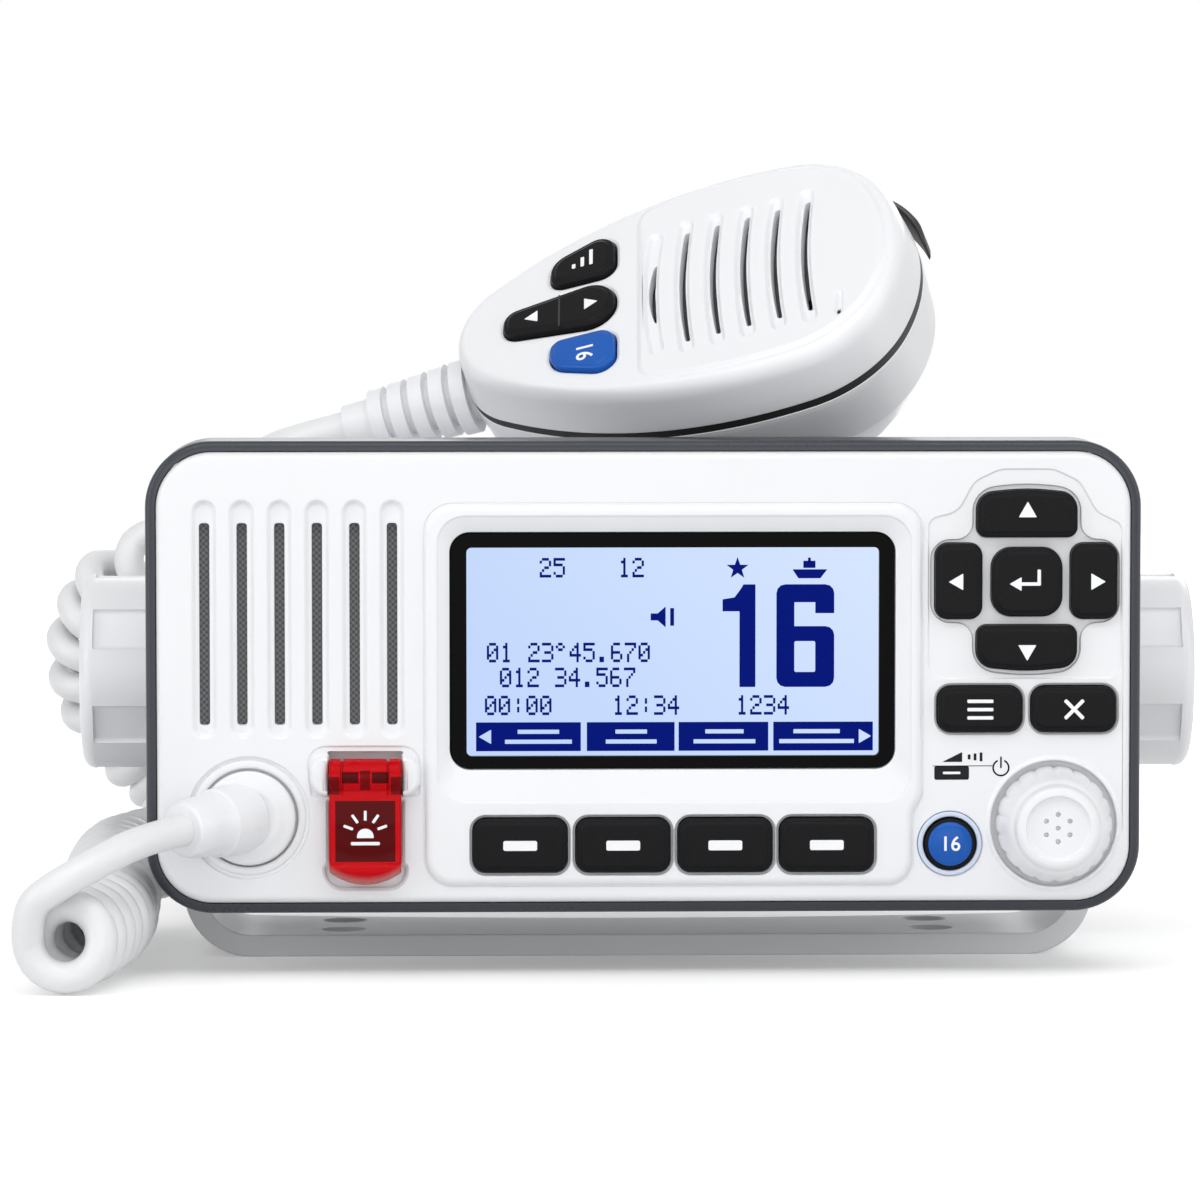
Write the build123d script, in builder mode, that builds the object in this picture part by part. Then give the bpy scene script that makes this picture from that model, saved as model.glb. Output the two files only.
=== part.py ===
from build123d import *
import os
from math import cos, pi, radians, sin

# ---------------------------------------------------------------- driving sizes, in mm
# Frame: X to the right, -Y towards the user, +Z up; origin on the mounting surface,
# under the tilt axis and midway between the bracket's arms.

# clearances
snug = 0.1                  # between fixed pieces that fit in one another
gap = 0.3                   # round a moving piece
running = 0.05              # radial, of a shaft in its bore

# width across the tilt axis, from the chassis out to the bracket
chassis_half_width = 73.0
boss_height = 6.6           # how far the tilt bosses stand out of the chassis
pad_thickness = 0.8
arm_wall = 3.8
boss_face = chassis_half_width + boss_height
arm_outer = boss_face + gap + pad_thickness + arm_wall      # centre line to the outside of an arm

# bracket
base_thickness = 4.0
base_half_depth = 18.0
base_waist = 11.0           # half depth of the base at its middle
bend_radius = 12.5
pivot_height = 52.0
arm_top_radius = 16.0
arm_edge = 0.5              # rounding of the arms' top corners
screw_inset = 29.5          # base screw, from the outside of an arm
screw_span_y = 16.0
screw_hole = 2.6
screw_sink = 1.6            # countersink, outside the hole
pad_radius = 12.5

# front unit
panel_width = 180.0
panel_height = 85.5
panel_radius = 12.0
panel_centre = pivot_height + 2.2       # the panel's middle, above the mounting surface
face_y = -52.0              # where the flat front face lies
band_wall = 2.0
band_front = 1.6            # depth of the band's front edge behind the face
band_depth = 18.0
cover_depth = 17.0
cover_wall = 1.5
face_wall = 2.6
back_plate = 3.0
band_edge = 0.9             # rounding of the band's front rim
cover_edge = 1.8            # rounding of the cover's front rim
cover_width = panel_width - 2 * band_wall
cover_height = panel_height - 2 * band_wall
cover_radius = panel_radius - band_wall

# raised frame: screen above, a strip of soft keys below
frame_x, frame_z = 5.25, -3.1
frame_width, frame_height, frame_radius = 89.9, 69.0, 4.5
frame_rise = 1.0
frame_taper = 25.0
frame_side = 2.15           # frame's flat border beside the bezel
frame_top = 2.1             # and above it
soft_strip = 15.1           # height of the strip below the bezel
bezel_radius = 4.2
bezel_width = frame_width - 2 * frame_side
bezel_height = frame_height - frame_top - soft_strip
bezel_x = frame_x + 0.15
bezel_z = frame_z + frame_height / 2 - frame_top - bezel_height / 2
bezel_slope_x = 2.6         # width of the bezel's slope at each side
bezel_slope_z = 4.5         # and above and below
lens_radius = 3.6
lens_width = bezel_width - 2 * bezel_slope_x
lens_height = bezel_height - 2 * bezel_slope_z
lens_x = bezel_x - 0.3
lens_z = bezel_z + 1.45
lens_thickness = 1.5
lens_depth = 0.4
lens_ledge = 2.0

# keys
key_proud = 1.5
key_travel = 0.8
key_flange = 0.9
key_flange_thickness = 1.0
key_chamfer = 0.5
stem_radius = 2.0
well_depth = 0.7            # how deep the wells round the keys are
soft_well = 1.3             # width of the wells: soft keys,
pad_well = 2.0              # direction pad,
wide_well = 0.9             # menu and clear
board_depth = 13.0          # front board's face behind the cover's face
board_thickness = 1.6
switch_height = 3.3
switch_size = 6.0
plunger_radius = 1.5
plunger_height = 0.8

# speaker
slot_count = 6
slot_pitch = 6.76
slot_first = -79.3
slot_z = 9.75
slot_width, slot_length = 2.1, 36.7
groove_width, groove_length = 4.2, 42.9
groove_depth = 0.9
groove_taper = 30.0
groove_z = 10.65
slot_radius = 0.7
speaker_x = slot_first + (slot_count - 1) * slot_pitch / 2
speaker_radius = 21.5
speaker_flange = 1.2
speaker_height = 11.0
magnet_radius = 9.0
magnet_height = 4.0
cone_depth = 4.0
net_thickness = 0.4
net_margin = 1.5

# microphone socket and plug
socket_x, socket_z = -71.5, -25.25
socket_ring = 11.0
socket_step = 0.5           # depth of the shallow ring round the socket
socket_front = 1.8          # the socket's face, behind the cover's
socket_hole = 8.95
plug_radius = 8.5
plug_proud = 1.6
spigot_radius = 5.6
spigot_length = 6.0
socket_depth = 11.0

# volume control
volume_x, volume_z = 74.1, -26.6
well_radius = 11.4
volume_well = 1.3           # depth of the knob's well
knob_radius = 10.4
knob_skirt = 3.7            # straight part of the knob in front of the face
knob_top_radius = 8.4
knob_height = 10.5
knob_edge = 1.2
knob_roof = 3.3             # knob's thickness ahead of its shaft
knob_foot = 0.3             # its open end, behind the face
dish_radius = 5.75
dish_depth = 0.8
notch_count = 18
shaft_radius = 3.0
push_travel = 0.5
encoder_size = 12.5
encoder_bush = 5.0

# channel 16 key
round_x, round_z = 55.3, -30.2
round_radius = 4.6
ring_inner, ring_outer = 5.0, 5.8

# emergency flap
flap_x = -50.4
flap_width = 13.0
flap_pivot_z = -17.7
flap_pivot_depth = -0.7
barrel_radius = 3.3
ear_radius = 4.4
ear_width = 3.6
flap_end_z = -37.2
pane_depth = -2.6
pane_thickness = 1.4
pin_radius = 1.2
pin_grip = 2.4              # how far the pin reaches into each ear
flap_pocket = 1.8
pocket_end_z = -38.4
pocket_wall = 5.2
emergency_z = -29.6
emergency_front = 0.4       # the key's face, behind the cover's
emergency_width, emergency_height, emergency_radius = 9.4, 11.4, 1.0

# clamp knobs
grip_radius = 18.2
grip_length = 19.0
grip_lobes = 6
grip_rim = 2.5
grip_roof = 4.0             # thickness of the knob's outer end
grip_hub = 7.0
grip_wall = 4.5
grip_reach = 4.9            # centre of a flat, outside the grip's radius
lobe_bite, lobe_width = 8.4, 12.0       # size of the flats between the lobes
stud_radius = 3.0
stud_reach = 9.0            # into the chassis boss
stud_clear = 1.5            # left ahead of the stud's end

# chassis
chassis_height = 66.0
chassis_front = face_y + cover_depth + back_plate + 1.0
chassis_back = 58.0
chassis_wall = 3.0
chassis_radius = 5.0
boss_radius = 12.0
fin_depth = 9.0
fin_pitch = 8.0
fin_thickness = 2.2
fin_margin = 7.0            # chassis side to the outermost fin
fin_clear = 6.0             # room left in the fins round the jack and the gland
flange_grow = 6.5
flange_thickness = 3.0
flange_screw_z = 22.0
cover_plate = 2.0
seal_thickness = 1.0
seal_inset, seal_width = 2.0, 4.0
cable_way = (70.0, 30.0)    # opening between the chassis and the front unit
plate_screw_x = 11.0        # plate screws, in from the chassis sides,
plate_screw_front = 11.0    # from its front
plate_screw_back = 12.0     # and from its back
plate_post = 4.0

# M3 pan-head screw
screw_radius = 1.5
screw_head_radius = 2.75
screw_head_height = 1.8
screw_length = 7.0

# antenna socket, a UHF jack
jack_x, jack_z = 46.0, panel_centre + 3.8
jack_barrel = 7.9
jack_barrel_length = 12.0
jack_flange = 25.0
jack_plate = 2.5
jack_neck = 6.0
jack_bore = 2.0
jack_bore_depth = 9.0

# cable gland
gland_x, gland_z = -46.0, panel_centre - 18.2
gland_width, gland_height = 30.0, 12.0
gland_lip_x, gland_lip_z = 5.0, 4.0     # how much narrower its neck is
gland_stand = 5.0
lead_radius = 3.0
lead_pitch = 8.5

# hand microphone, lying on the chassis and leaning on the band's top edge
chassis_top = panel_centre + chassis_height / 2
band_top = panel_centre + panel_height / 2
mic_step = 9.75             # how much higher the microphone bears on the band than on the chassis
mic_lift = 27.85            # its seam plane's origin above where it bears
mic_origin = Vector(9.9, face_y + 42.4, max(chassis_top, band_top - mic_step) + mic_lift)
mic_yaw = 14.0              # head end swung towards the user, degrees
mic_rise = 14.0             # head end above the cord end
mic_lean = 48.0             # face leaned back from upright
mic_head = 45.4
mic_arcs = ((36.0, 26.0), (23.0, 58.0), (88.0, 41.0))     # radius and angle, head to tail
mic_front_depth = 12.5
mic_front_inset = 2.6
mic_rear_depth = 20.85
mic_waist_depth = 10.5
mic_rear_inset = 9.0
mic_wall = 2.4
seam_half = 0.6
mic_edge = 3.2
mic_back_edge = 4.0
mic_waist_inset = 1.0
mic_tray = 0.5              # height of the raised tray round the grille
mic_post, mic_post_hole = 3.2, 4.2
mic_key_proud = 1.2
mic_slot_count = 6
mic_slot_first = -2.3
mic_slot_pitch = 5.9
mic_slot_z = -1.2
mic_slot_bow = 1.2
mic_slot_width, mic_slot_half = 1.3, 15.2
mic_groove_width, mic_groove_half, mic_groove_depth = 2.8, 18.4, 0.9
lever_width = 9.0           # push-to-talk lever, across the seam
lever_thickness = 2.9
lever_swing = 2.2           # degrees
lever_pivot = (9.0, 28.0)

# cords
wire = 5.8
curl = 18.6


# ---------------------------------------------------------------- shared helpers
os.makedirs("parts", exist_ok=True)


def save(builder, label):
    builder.part.label = label
    export_step(builder.part, f"parts/{label}.step")


def front(depth, x=0.0, z=0.0):
    """Plane parallel to the front face, depth behind it, normal towards the user."""
    return Plane(origin=(x, face_y + depth, panel_centre + z), x_dir=(1, 0, 0), z_dir=(0, -1, 0))


def turned(x, z):
    """Half plane for turned profiles about a line into the face: x is radius, y is depth."""
    return Plane(origin=(x, face_y, panel_centre + z), x_dir=(1, 0, 0), z_dir=(0, 0, 1))


def front_axis(x, z):
    return Axis((x, face_y, panel_centre + z), (0, 1, 0))


def rounded(x, z, width, height, radius):
    with Locations((x, z)):
        RectangleRounded(width, height, radius)


def ring(inner, outer):
    Circle(outer)
    Circle(inner, mode=Mode.SUBTRACT)


def arched(x, z, width, height, arch, sense, corner=1.6, shoulder=3.0, crown=38.0):
    """Key outline with one edge bowed outwards by arch; sense +1 bows it up, -1 down."""
    half = width / 2
    low = z - sense * height / 2
    side = z + sense * (height / 2 - arch)
    tip = z + sense * height / 2
    with BuildLine() as outline:
        FilletPolyline(
            (x - half, low),
            (x + half, low),
            (x + half, side),
            (x, tip),
            (x - half, side),
            radius=[corner, corner, shoulder, crown, shoulder],
            close=True,
        )
    make_face(outline.edges())


# name, x, z, width, height and kind of each black key on the front
pad_x, pad_z = 69.1, 17.2
soft_xs = (-22.5, -3.9, 14.55, 32.9)
soft_z = frame_z - frame_height / 2 + 7.35
front_keys = [(f"soft_key_{i + 1}", x, soft_z, 16.9, 9.7, "soft") for i, x in enumerate(soft_xs)]
front_keys += [
    ("pad_up_key", pad_x, pad_z + 12.5, 18.2, 8.8, "up"),
    ("pad_down_key", pad_x, pad_z - 12.0, 18.2, 8.4, "down"),
    ("pad_left_key", pad_x - 12.35, pad_z + 0.15, 8.5, 13.7, "side"),
    ("pad_right_key", pad_x + 12.15, pad_z + 0.15, 8.5, 13.7, "side"),
    ("pad_centre_key", pad_x, pad_z, 12.8, 12.4, "centre"),
    ("menu_key", pad_x - 8.45, pad_z - 23.0, 15.3, 8.2, "wide"),
    ("clear_key", pad_x + 8.55, pad_z - 23.0, 15.3, 8.2, "wide"),
]


def draw_key(x, z, width, height, kind):
    if kind == "up":
        arched(x, z, width, height, 0.9, 1)
    elif kind == "down":
        arched(x, z, width, height, 0.9, -1)
    else:
        rounded(x, z, width, height, {"soft": 2.2, "side": 2.0, "centre": 3.4, "wide": 2.1}[kind])


def draw_keys(kinds, grow):
    for _, x, z, width, height, kind in front_keys:
        if kind in kinds:
            draw_key(x, z, width, height, kind)
    offset(amount=grow)


# ---------------------------------------------------------------- bracket
with BuildPart() as bracket:
    with BuildSketch(Plane.XZ):
        with BuildLine():
            FilletPolyline(
                (-arm_outer, pivot_height + arm_top_radius),
                (-arm_outer, 0),
                (arm_outer, 0),
                (arm_outer, pivot_height + arm_top_radius),
                (arm_outer - arm_wall, pivot_height + arm_top_radius),
                (arm_outer - arm_wall, base_thickness),
                (arm_wall - arm_outer, base_thickness),
                (arm_wall - arm_outer, pivot_height + arm_top_radius),
                radius=[
                    arm_edge, bend_radius, bend_radius, arm_edge, arm_edge,
                    bend_radius - arm_wall, bend_radius - arm_wall, arm_edge,
                ],
                close=True,
            )
        make_face()
    extrude(amount=base_half_depth, both=True)
    with BuildSketch(Plane.YZ):
        Rectangle(2 * base_half_depth, bend_radius, align=(Align.CENTER, Align.MIN))
        with Locations((0, pivot_height)):
            Circle(arm_top_radius)
        make_hull()
    extrude(amount=arm_outer, both=True, mode=Mode.INTERSECT)
    # the base is waisted towards its middle, front and back
    base_end = arm_outer - bend_radius
    with BuildSketch(Plane.XY):
        with BuildLine():
            for sense in (1, -1):
                edge, beyond = sense * base_half_depth, 2 * sense * base_half_depth
                Polyline((-base_end, edge), (-base_end, beyond), (base_end, beyond), (base_end, edge))
                ThreePointArc((-base_end, edge), (0, sense * base_waist), (base_end, edge))
        make_face()
    extrude(amount=base_thickness, mode=Mode.SUBTRACT)
    with Locations(Plane.XY.offset(base_thickness)):
        with GridLocations(2 * (arm_outer - screw_inset), screw_span_y, 2, 2):
            CounterSinkHole(screw_hole, screw_hole + screw_sink, counter_sink_angle=90)
    with Locations(Plane(origin=(0, 0, pivot_height), z_dir=(1, 0, 0))):
        Hole(stud_radius + running, depth=2 * arm_outer)
save(bracket, "bracket")

with BuildPart() as bracket_pads:
    for sense in (-1, 1):
        start = sense * (arm_outer - arm_wall)
        with BuildSketch(Plane(origin=(start, 0, pivot_height), z_dir=(-sense, 0, 0))):
            ring(stud_radius + gap, pad_radius)
        extrude(amount=pad_thickness)
save(bracket_pads, "bracket_pads")

# ---------------------------------------------------------------- clamp knobs
grip_start = arm_outer + gap
for side, sense in (("left", -1), ("right", 1)):
    hub = Plane(origin=(sense * grip_start, 0, pivot_height), x_dir=(0, 1, 0), z_dir=(sense, 0, 0))
    with BuildPart() as clamp_knob:
        with BuildSketch(hub):
            Circle(grip_radius)
        extrude(amount=grip_length)
        fillet(clamp_knob.faces().sort_by(Axis.X)[0 if sense < 0 else -1].edges(), grip_rim)
        # flat recesses between the broad lobes, open to the back edge
        with BuildSketch(hub):
            with PolarLocations(grip_radius + grip_reach, grip_lobes, start_angle=90):
                RectangleRounded(lobe_width, lobe_bite, 1.0)
        extrude(amount=grip_length - grip_rim, mode=Mode.SUBTRACT)
        with BuildSketch(hub):
            ring(grip_hub, grip_radius - grip_wall)
        extrude(amount=grip_length - grip_roof, mode=Mode.SUBTRACT)
        with BuildSketch(hub):
            Circle(stud_radius)
        extrude(amount=grip_length - grip_roof, mode=Mode.SUBTRACT)
    save(clamp_knob, f"clamp_knob_{side}")

    with BuildPart() as clamp_stud:
        with BuildSketch(hub.offset(grip_length - grip_roof)):
            Circle(stud_radius)
        extrude(amount=-(grip_length - grip_roof + gap + arm_wall + pad_thickness + gap + stud_reach))
        chamfer(clamp_stud.edges().sort_by(Axis.X)[-1 if sense < 0 else 0], 0.6)
    save(clamp_stud, f"clamp_stud_{side}")

# ---------------------------------------------------------------- chassis
chassis_low = panel_centre - chassis_height / 2
chassis_middle = (chassis_front + chassis_back) / 2
tub = Plane(origin=(0, chassis_front, panel_centre), x_dir=(-1, 0, 0), z_dir=(0, 1, 0))
flange_screw_x = chassis_half_width + screw_head_radius + 0.5
flange_screws = [(sx * flange_screw_x, sz * flange_screw_z) for sx in (-1, 1) for sz in (-1, 1)]
plate_screws = [
    (sx * (chassis_half_width - plate_screw_x), y)
    for sx in (-1, 1)
    for y in (chassis_front + plate_screw_front, chassis_back - plate_screw_back)
]
with BuildPart() as chassis:
    with BuildSketch(tub):
        RectangleRounded(2 * chassis_half_width, chassis_height, chassis_radius)
    extrude(amount=chassis_back - chassis_front)
    with BuildSketch(tub):
        RectangleRounded(
            2 * (chassis_half_width + flange_grow), chassis_height + 4.0, chassis_radius
        )
    extrude(amount=flange_thickness)
    # cavity, open downwards where the cover plate closes it
    with BuildSketch(Plane.XY.offset(chassis_low)):
        with Locations((0, chassis_middle)):
            Rectangle(
                2 * (chassis_half_width - chassis_wall),
                chassis_back - chassis_front - 2 * chassis_wall,
            )
    extrude(amount=chassis_height - chassis_wall, mode=Mode.SUBTRACT)
    # seat of the cover plate
    with BuildSketch(Plane.XY.offset(chassis_low)):
        with Locations((0, chassis_middle + flange_thickness / 2)):
            Rectangle(2 * chassis_half_width, chassis_back - chassis_front - flange_thickness)
    extrude(amount=cover_plate, mode=Mode.SUBTRACT)
    # screw posts for the cover plate
    with BuildSketch(Plane.XY.offset(chassis_low + cover_plate)):
        with Locations(*plate_screws):
            Circle(plate_post)
    extrude(amount=chassis_height - cover_plate - chassis_wall)
    with BuildSketch(Plane.XY.offset(chassis_low + cover_plate)):
        with Locations(*plate_screws):
            Circle(screw_radius)
    extrude(amount=screw_length, mode=Mode.SUBTRACT)
    # side bosses on the tilt axis
    for sense in (-1, 1):
        with BuildSketch(Plane(origin=(sense * boss_face, 0, pivot_height), z_dir=(-sense, 0, 0))):
            Circle(boss_radius)
        extrude(amount=boss_face - chassis_half_width + chassis_wall)
    for sense in (-1, 1):
        with BuildSketch(Plane(origin=(sense * boss_face, 0, pivot_height), z_dir=(-sense, 0, 0))):
            Circle(stud_radius + running)
        extrude(amount=stud_reach + stud_clear, mode=Mode.SUBTRACT)
    # rear fins, left out round the antenna jack and the cable gland
    fin_count = 2 * int((chassis_half_width - fin_margin) / fin_pitch) + 1
    with BuildSketch(Plane.XZ.offset(-chassis_back)):
        with Locations((0, panel_centre)):
            with GridLocations(fin_pitch, 0, fin_count, 1):
                Rectangle(fin_thickness, chassis_height - 2 * chassis_radius)
        with Locations((jack_x, jack_z)):
            Rectangle(jack_flange + fin_clear, jack_flange + fin_clear, mode=Mode.SUBTRACT)
        with Locations((gland_x, gland_z)):
            Rectangle(gland_width + fin_clear, gland_height + fin_clear, mode=Mode.SUBTRACT)
    extrude(amount=-fin_depth)
    # openings in the rear wall
    with BuildSketch(Plane.XZ.offset(-chassis_back)):
        with Locations((jack_x, jack_z)):
            Circle(jack_neck)
        with Locations((gland_x, gland_z)):
            RectangleRounded(gland_width - gland_lip_x, gland_height - gland_lip_z, gland_lip_z / 2)
    extrude(amount=chassis_wall, mode=Mode.SUBTRACT)
    # flange screw holes and the cable way to the front unit
    with BuildSketch(tub):
        with Locations(*flange_screws):
            Circle(screw_radius + snug)
    extrude(amount=flange_thickness, mode=Mode.SUBTRACT)
    with BuildSketch(tub):
        Rectangle(*cable_way)
    extrude(amount=chassis_wall, mode=Mode.SUBTRACT)
save(chassis, "chassis")

with BuildPart() as chassis_cover:
    with BuildSketch(Plane.XY.offset(chassis_low)):
        with Locations((0, chassis_middle + flange_thickness / 2)):
            RectangleRounded(
                2 * (chassis_half_width - 1.0),
                chassis_back - chassis_front - flange_thickness - 1.0,
                chassis_wall,
            )
        with Locations(*plate_screws):
            Circle(screw_radius + snug, mode=Mode.SUBTRACT)
    extrude(amount=cover_plate)
save(chassis_cover, "chassis_cover")

back_y = face_y + cover_depth
seal_plane = Plane(origin=(0, back_y + back_plate, panel_centre), x_dir=(-1, 0, 0), z_dir=(0, 1, 0))
with BuildPart() as chassis_seal:
    with BuildSketch(seal_plane):
        RectangleRounded(
            2 * (chassis_half_width - seal_inset), chassis_height - 2 * seal_inset,
            chassis_radius - 1.0,
        )
        offset(amount=-seal_width, mode=Mode.SUBTRACT)
    extrude(amount=seal_thickness)
save(chassis_seal, "chassis_seal")

with BuildPart() as chassis_screws:
    for x, z in flange_screws:
        seat = Plane(
            origin=(x, chassis_front + flange_thickness, panel_centre + z), z_dir=(0, 1, 0)
        )
        with BuildSketch(seat):
            Circle(screw_head_radius)
        extrude(amount=screw_head_height)
        with BuildSketch(seat):
            Circle(screw_radius)
        extrude(amount=-screw_length)
    for x, y in plate_screws:
        seat = Plane(origin=(x, y, chassis_low), z_dir=(0, 0, -1))
        with BuildSketch(seat):
            Circle(screw_head_radius)
        extrude(amount=screw_head_height)
        with BuildSketch(seat):
            Circle(screw_radius)
        extrude(amount=-screw_length)
save(chassis_screws, "chassis_screws")

with BuildPart() as antenna_jack:
    jack_seat = Plane(origin=(jack_x, chassis_back, jack_z), z_dir=(0, 1, 0))
    with BuildSketch(jack_seat):
        RectangleRounded(jack_flange, jack_flange, 2.0)
    extrude(amount=jack_plate)
    with BuildSketch(jack_seat.offset(jack_plate)):
        Circle(jack_barrel)
    extrude(amount=jack_barrel_length)
    chamfer(antenna_jack.edges().sort_by(Axis.Y)[-1], 0.6)
    with BuildSketch(jack_seat):
        Circle(jack_neck - snug)
    extrude(amount=-2 * chassis_wall)
    with BuildSketch(jack_seat.offset(jack_plate + jack_barrel_length)):
        ring(jack_bore + 1.5, jack_barrel - 1.6)
    extrude(amount=-jack_barrel_length + 1.5, mode=Mode.SUBTRACT)
    with BuildSketch(jack_seat.offset(jack_plate + jack_barrel_length)):
        Circle(jack_bore)
    extrude(amount=-jack_bore_depth, mode=Mode.SUBTRACT)
save(antenna_jack, "antenna_jack")

with BuildPart() as cable_gland:
    gland_seat = Plane(origin=(gland_x, chassis_back, gland_z), x_dir=(-1, 0, 0), z_dir=(0, 1, 0))
    with BuildSketch(gland_seat):
        RectangleRounded(gland_width, gland_height, gland_height / 3)
    extrude(amount=gland_stand, taper=8)
    with BuildSketch(gland_seat):
        RectangleRounded(
            gland_width - gland_lip_x - 2 * snug, gland_height - gland_lip_z - 2 * snug,
            gland_lip_z / 2,
        )
    extrude(amount=-chassis_wall - 1.0)
    with BuildSketch(gland_seat.offset(gland_stand)):
        with GridLocations(lead_pitch, 0, 3, 1):
            Circle(lead_radius)
    extrude(amount=-(gland_stand + chassis_wall + 1.0), mode=Mode.SUBTRACT)
save(cable_gland, "cable_gland")

# ---------------------------------------------------------------- main board
standoff = 8.0
standoff_inset = 5.0
standoff_radius = 3.0
main_board_z = chassis_low + cover_plate + standoff
main_width = 2 * (chassis_half_width - plate_screw_x - plate_post - 1.0)
main_length = chassis_back - chassis_front - 2 * chassis_wall - 7.0
with BuildPart() as main_board:
    with BuildSketch(Plane.XY.offset(main_board_z)):
        with Locations((0, chassis_middle)):
            Rectangle(main_width, main_length)
    extrude(amount=board_thickness)
    with BuildSketch(Plane.XY.offset(main_board_z)):
        with Locations((0, chassis_middle)):
            with GridLocations(main_width - 2 * standoff_inset, main_length - 2 * standoff_inset, 2, 2):
                Circle(standoff_radius)
    extrude(amount=-standoff)
save(main_board, "main_board")

# screening cans and the supply's capacitors, placed from the board's rear corners
can_inset = 11.0
can_height = 9.0
amplifier_can = (44.0, 30.0)
receiver_can = (36.0, 44.0)
capacitor_radius, capacitor_height = 5.0, 14.0
can_back = chassis_middle + main_length / 2 - can_inset
amplifier_x = main_width / 2 - can_inset - amplifier_can[0] / 2
receiver_x = can_inset + receiver_can[0] / 2 - main_width / 2
capacitor_y = can_back - amplifier_can[1] - 2 * capacitor_radius
with BuildPart() as board_modules:
    with BuildSketch(Plane.XY.offset(main_board_z + board_thickness)):
        with Locations((amplifier_x, can_back - amplifier_can[1] / 2)):
            Rectangle(*amplifier_can)
        with Locations((receiver_x, can_back - receiver_can[1] / 2)):
            Rectangle(*receiver_can)
    extrude(amount=can_height)
    with BuildSketch(Plane.XY.offset(main_board_z + board_thickness)):
        with Locations((amplifier_x, capacitor_y)):
            with GridLocations(4 * capacitor_radius, 0, 2, 1):
                Circle(capacitor_radius)
    extrude(amount=capacitor_height)
save(board_modules, "board_modules")

# ---------------------------------------------------------------- front unit: band, cover, back plate
with BuildPart() as panel_band:
    with BuildSketch(front(band_front)):
        RectangleRounded(panel_width, panel_height, panel_radius)
        RectangleRounded(
            cover_width + 2 * snug, cover_height + 2 * snug, cover_radius + snug,
            mode=Mode.SUBTRACT,
        )
    extrude(amount=-band_depth)
    rim = panel_band.faces().sort_by(Axis.Y)[0].outer_wire().edges()
    fillet(rim, band_edge)
save(panel_band, "panel_band")

flap_pocket_width = flap_width + 2 * gap
barrel_floor = flap_pivot_depth + barrel_radius + gap
flap_top_z = flap_pivot_z + ear_radius + 0.6
pocket_z = (flap_top_z + pocket_end_z) / 2
pocket_height = flap_top_z - pocket_end_z

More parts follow.
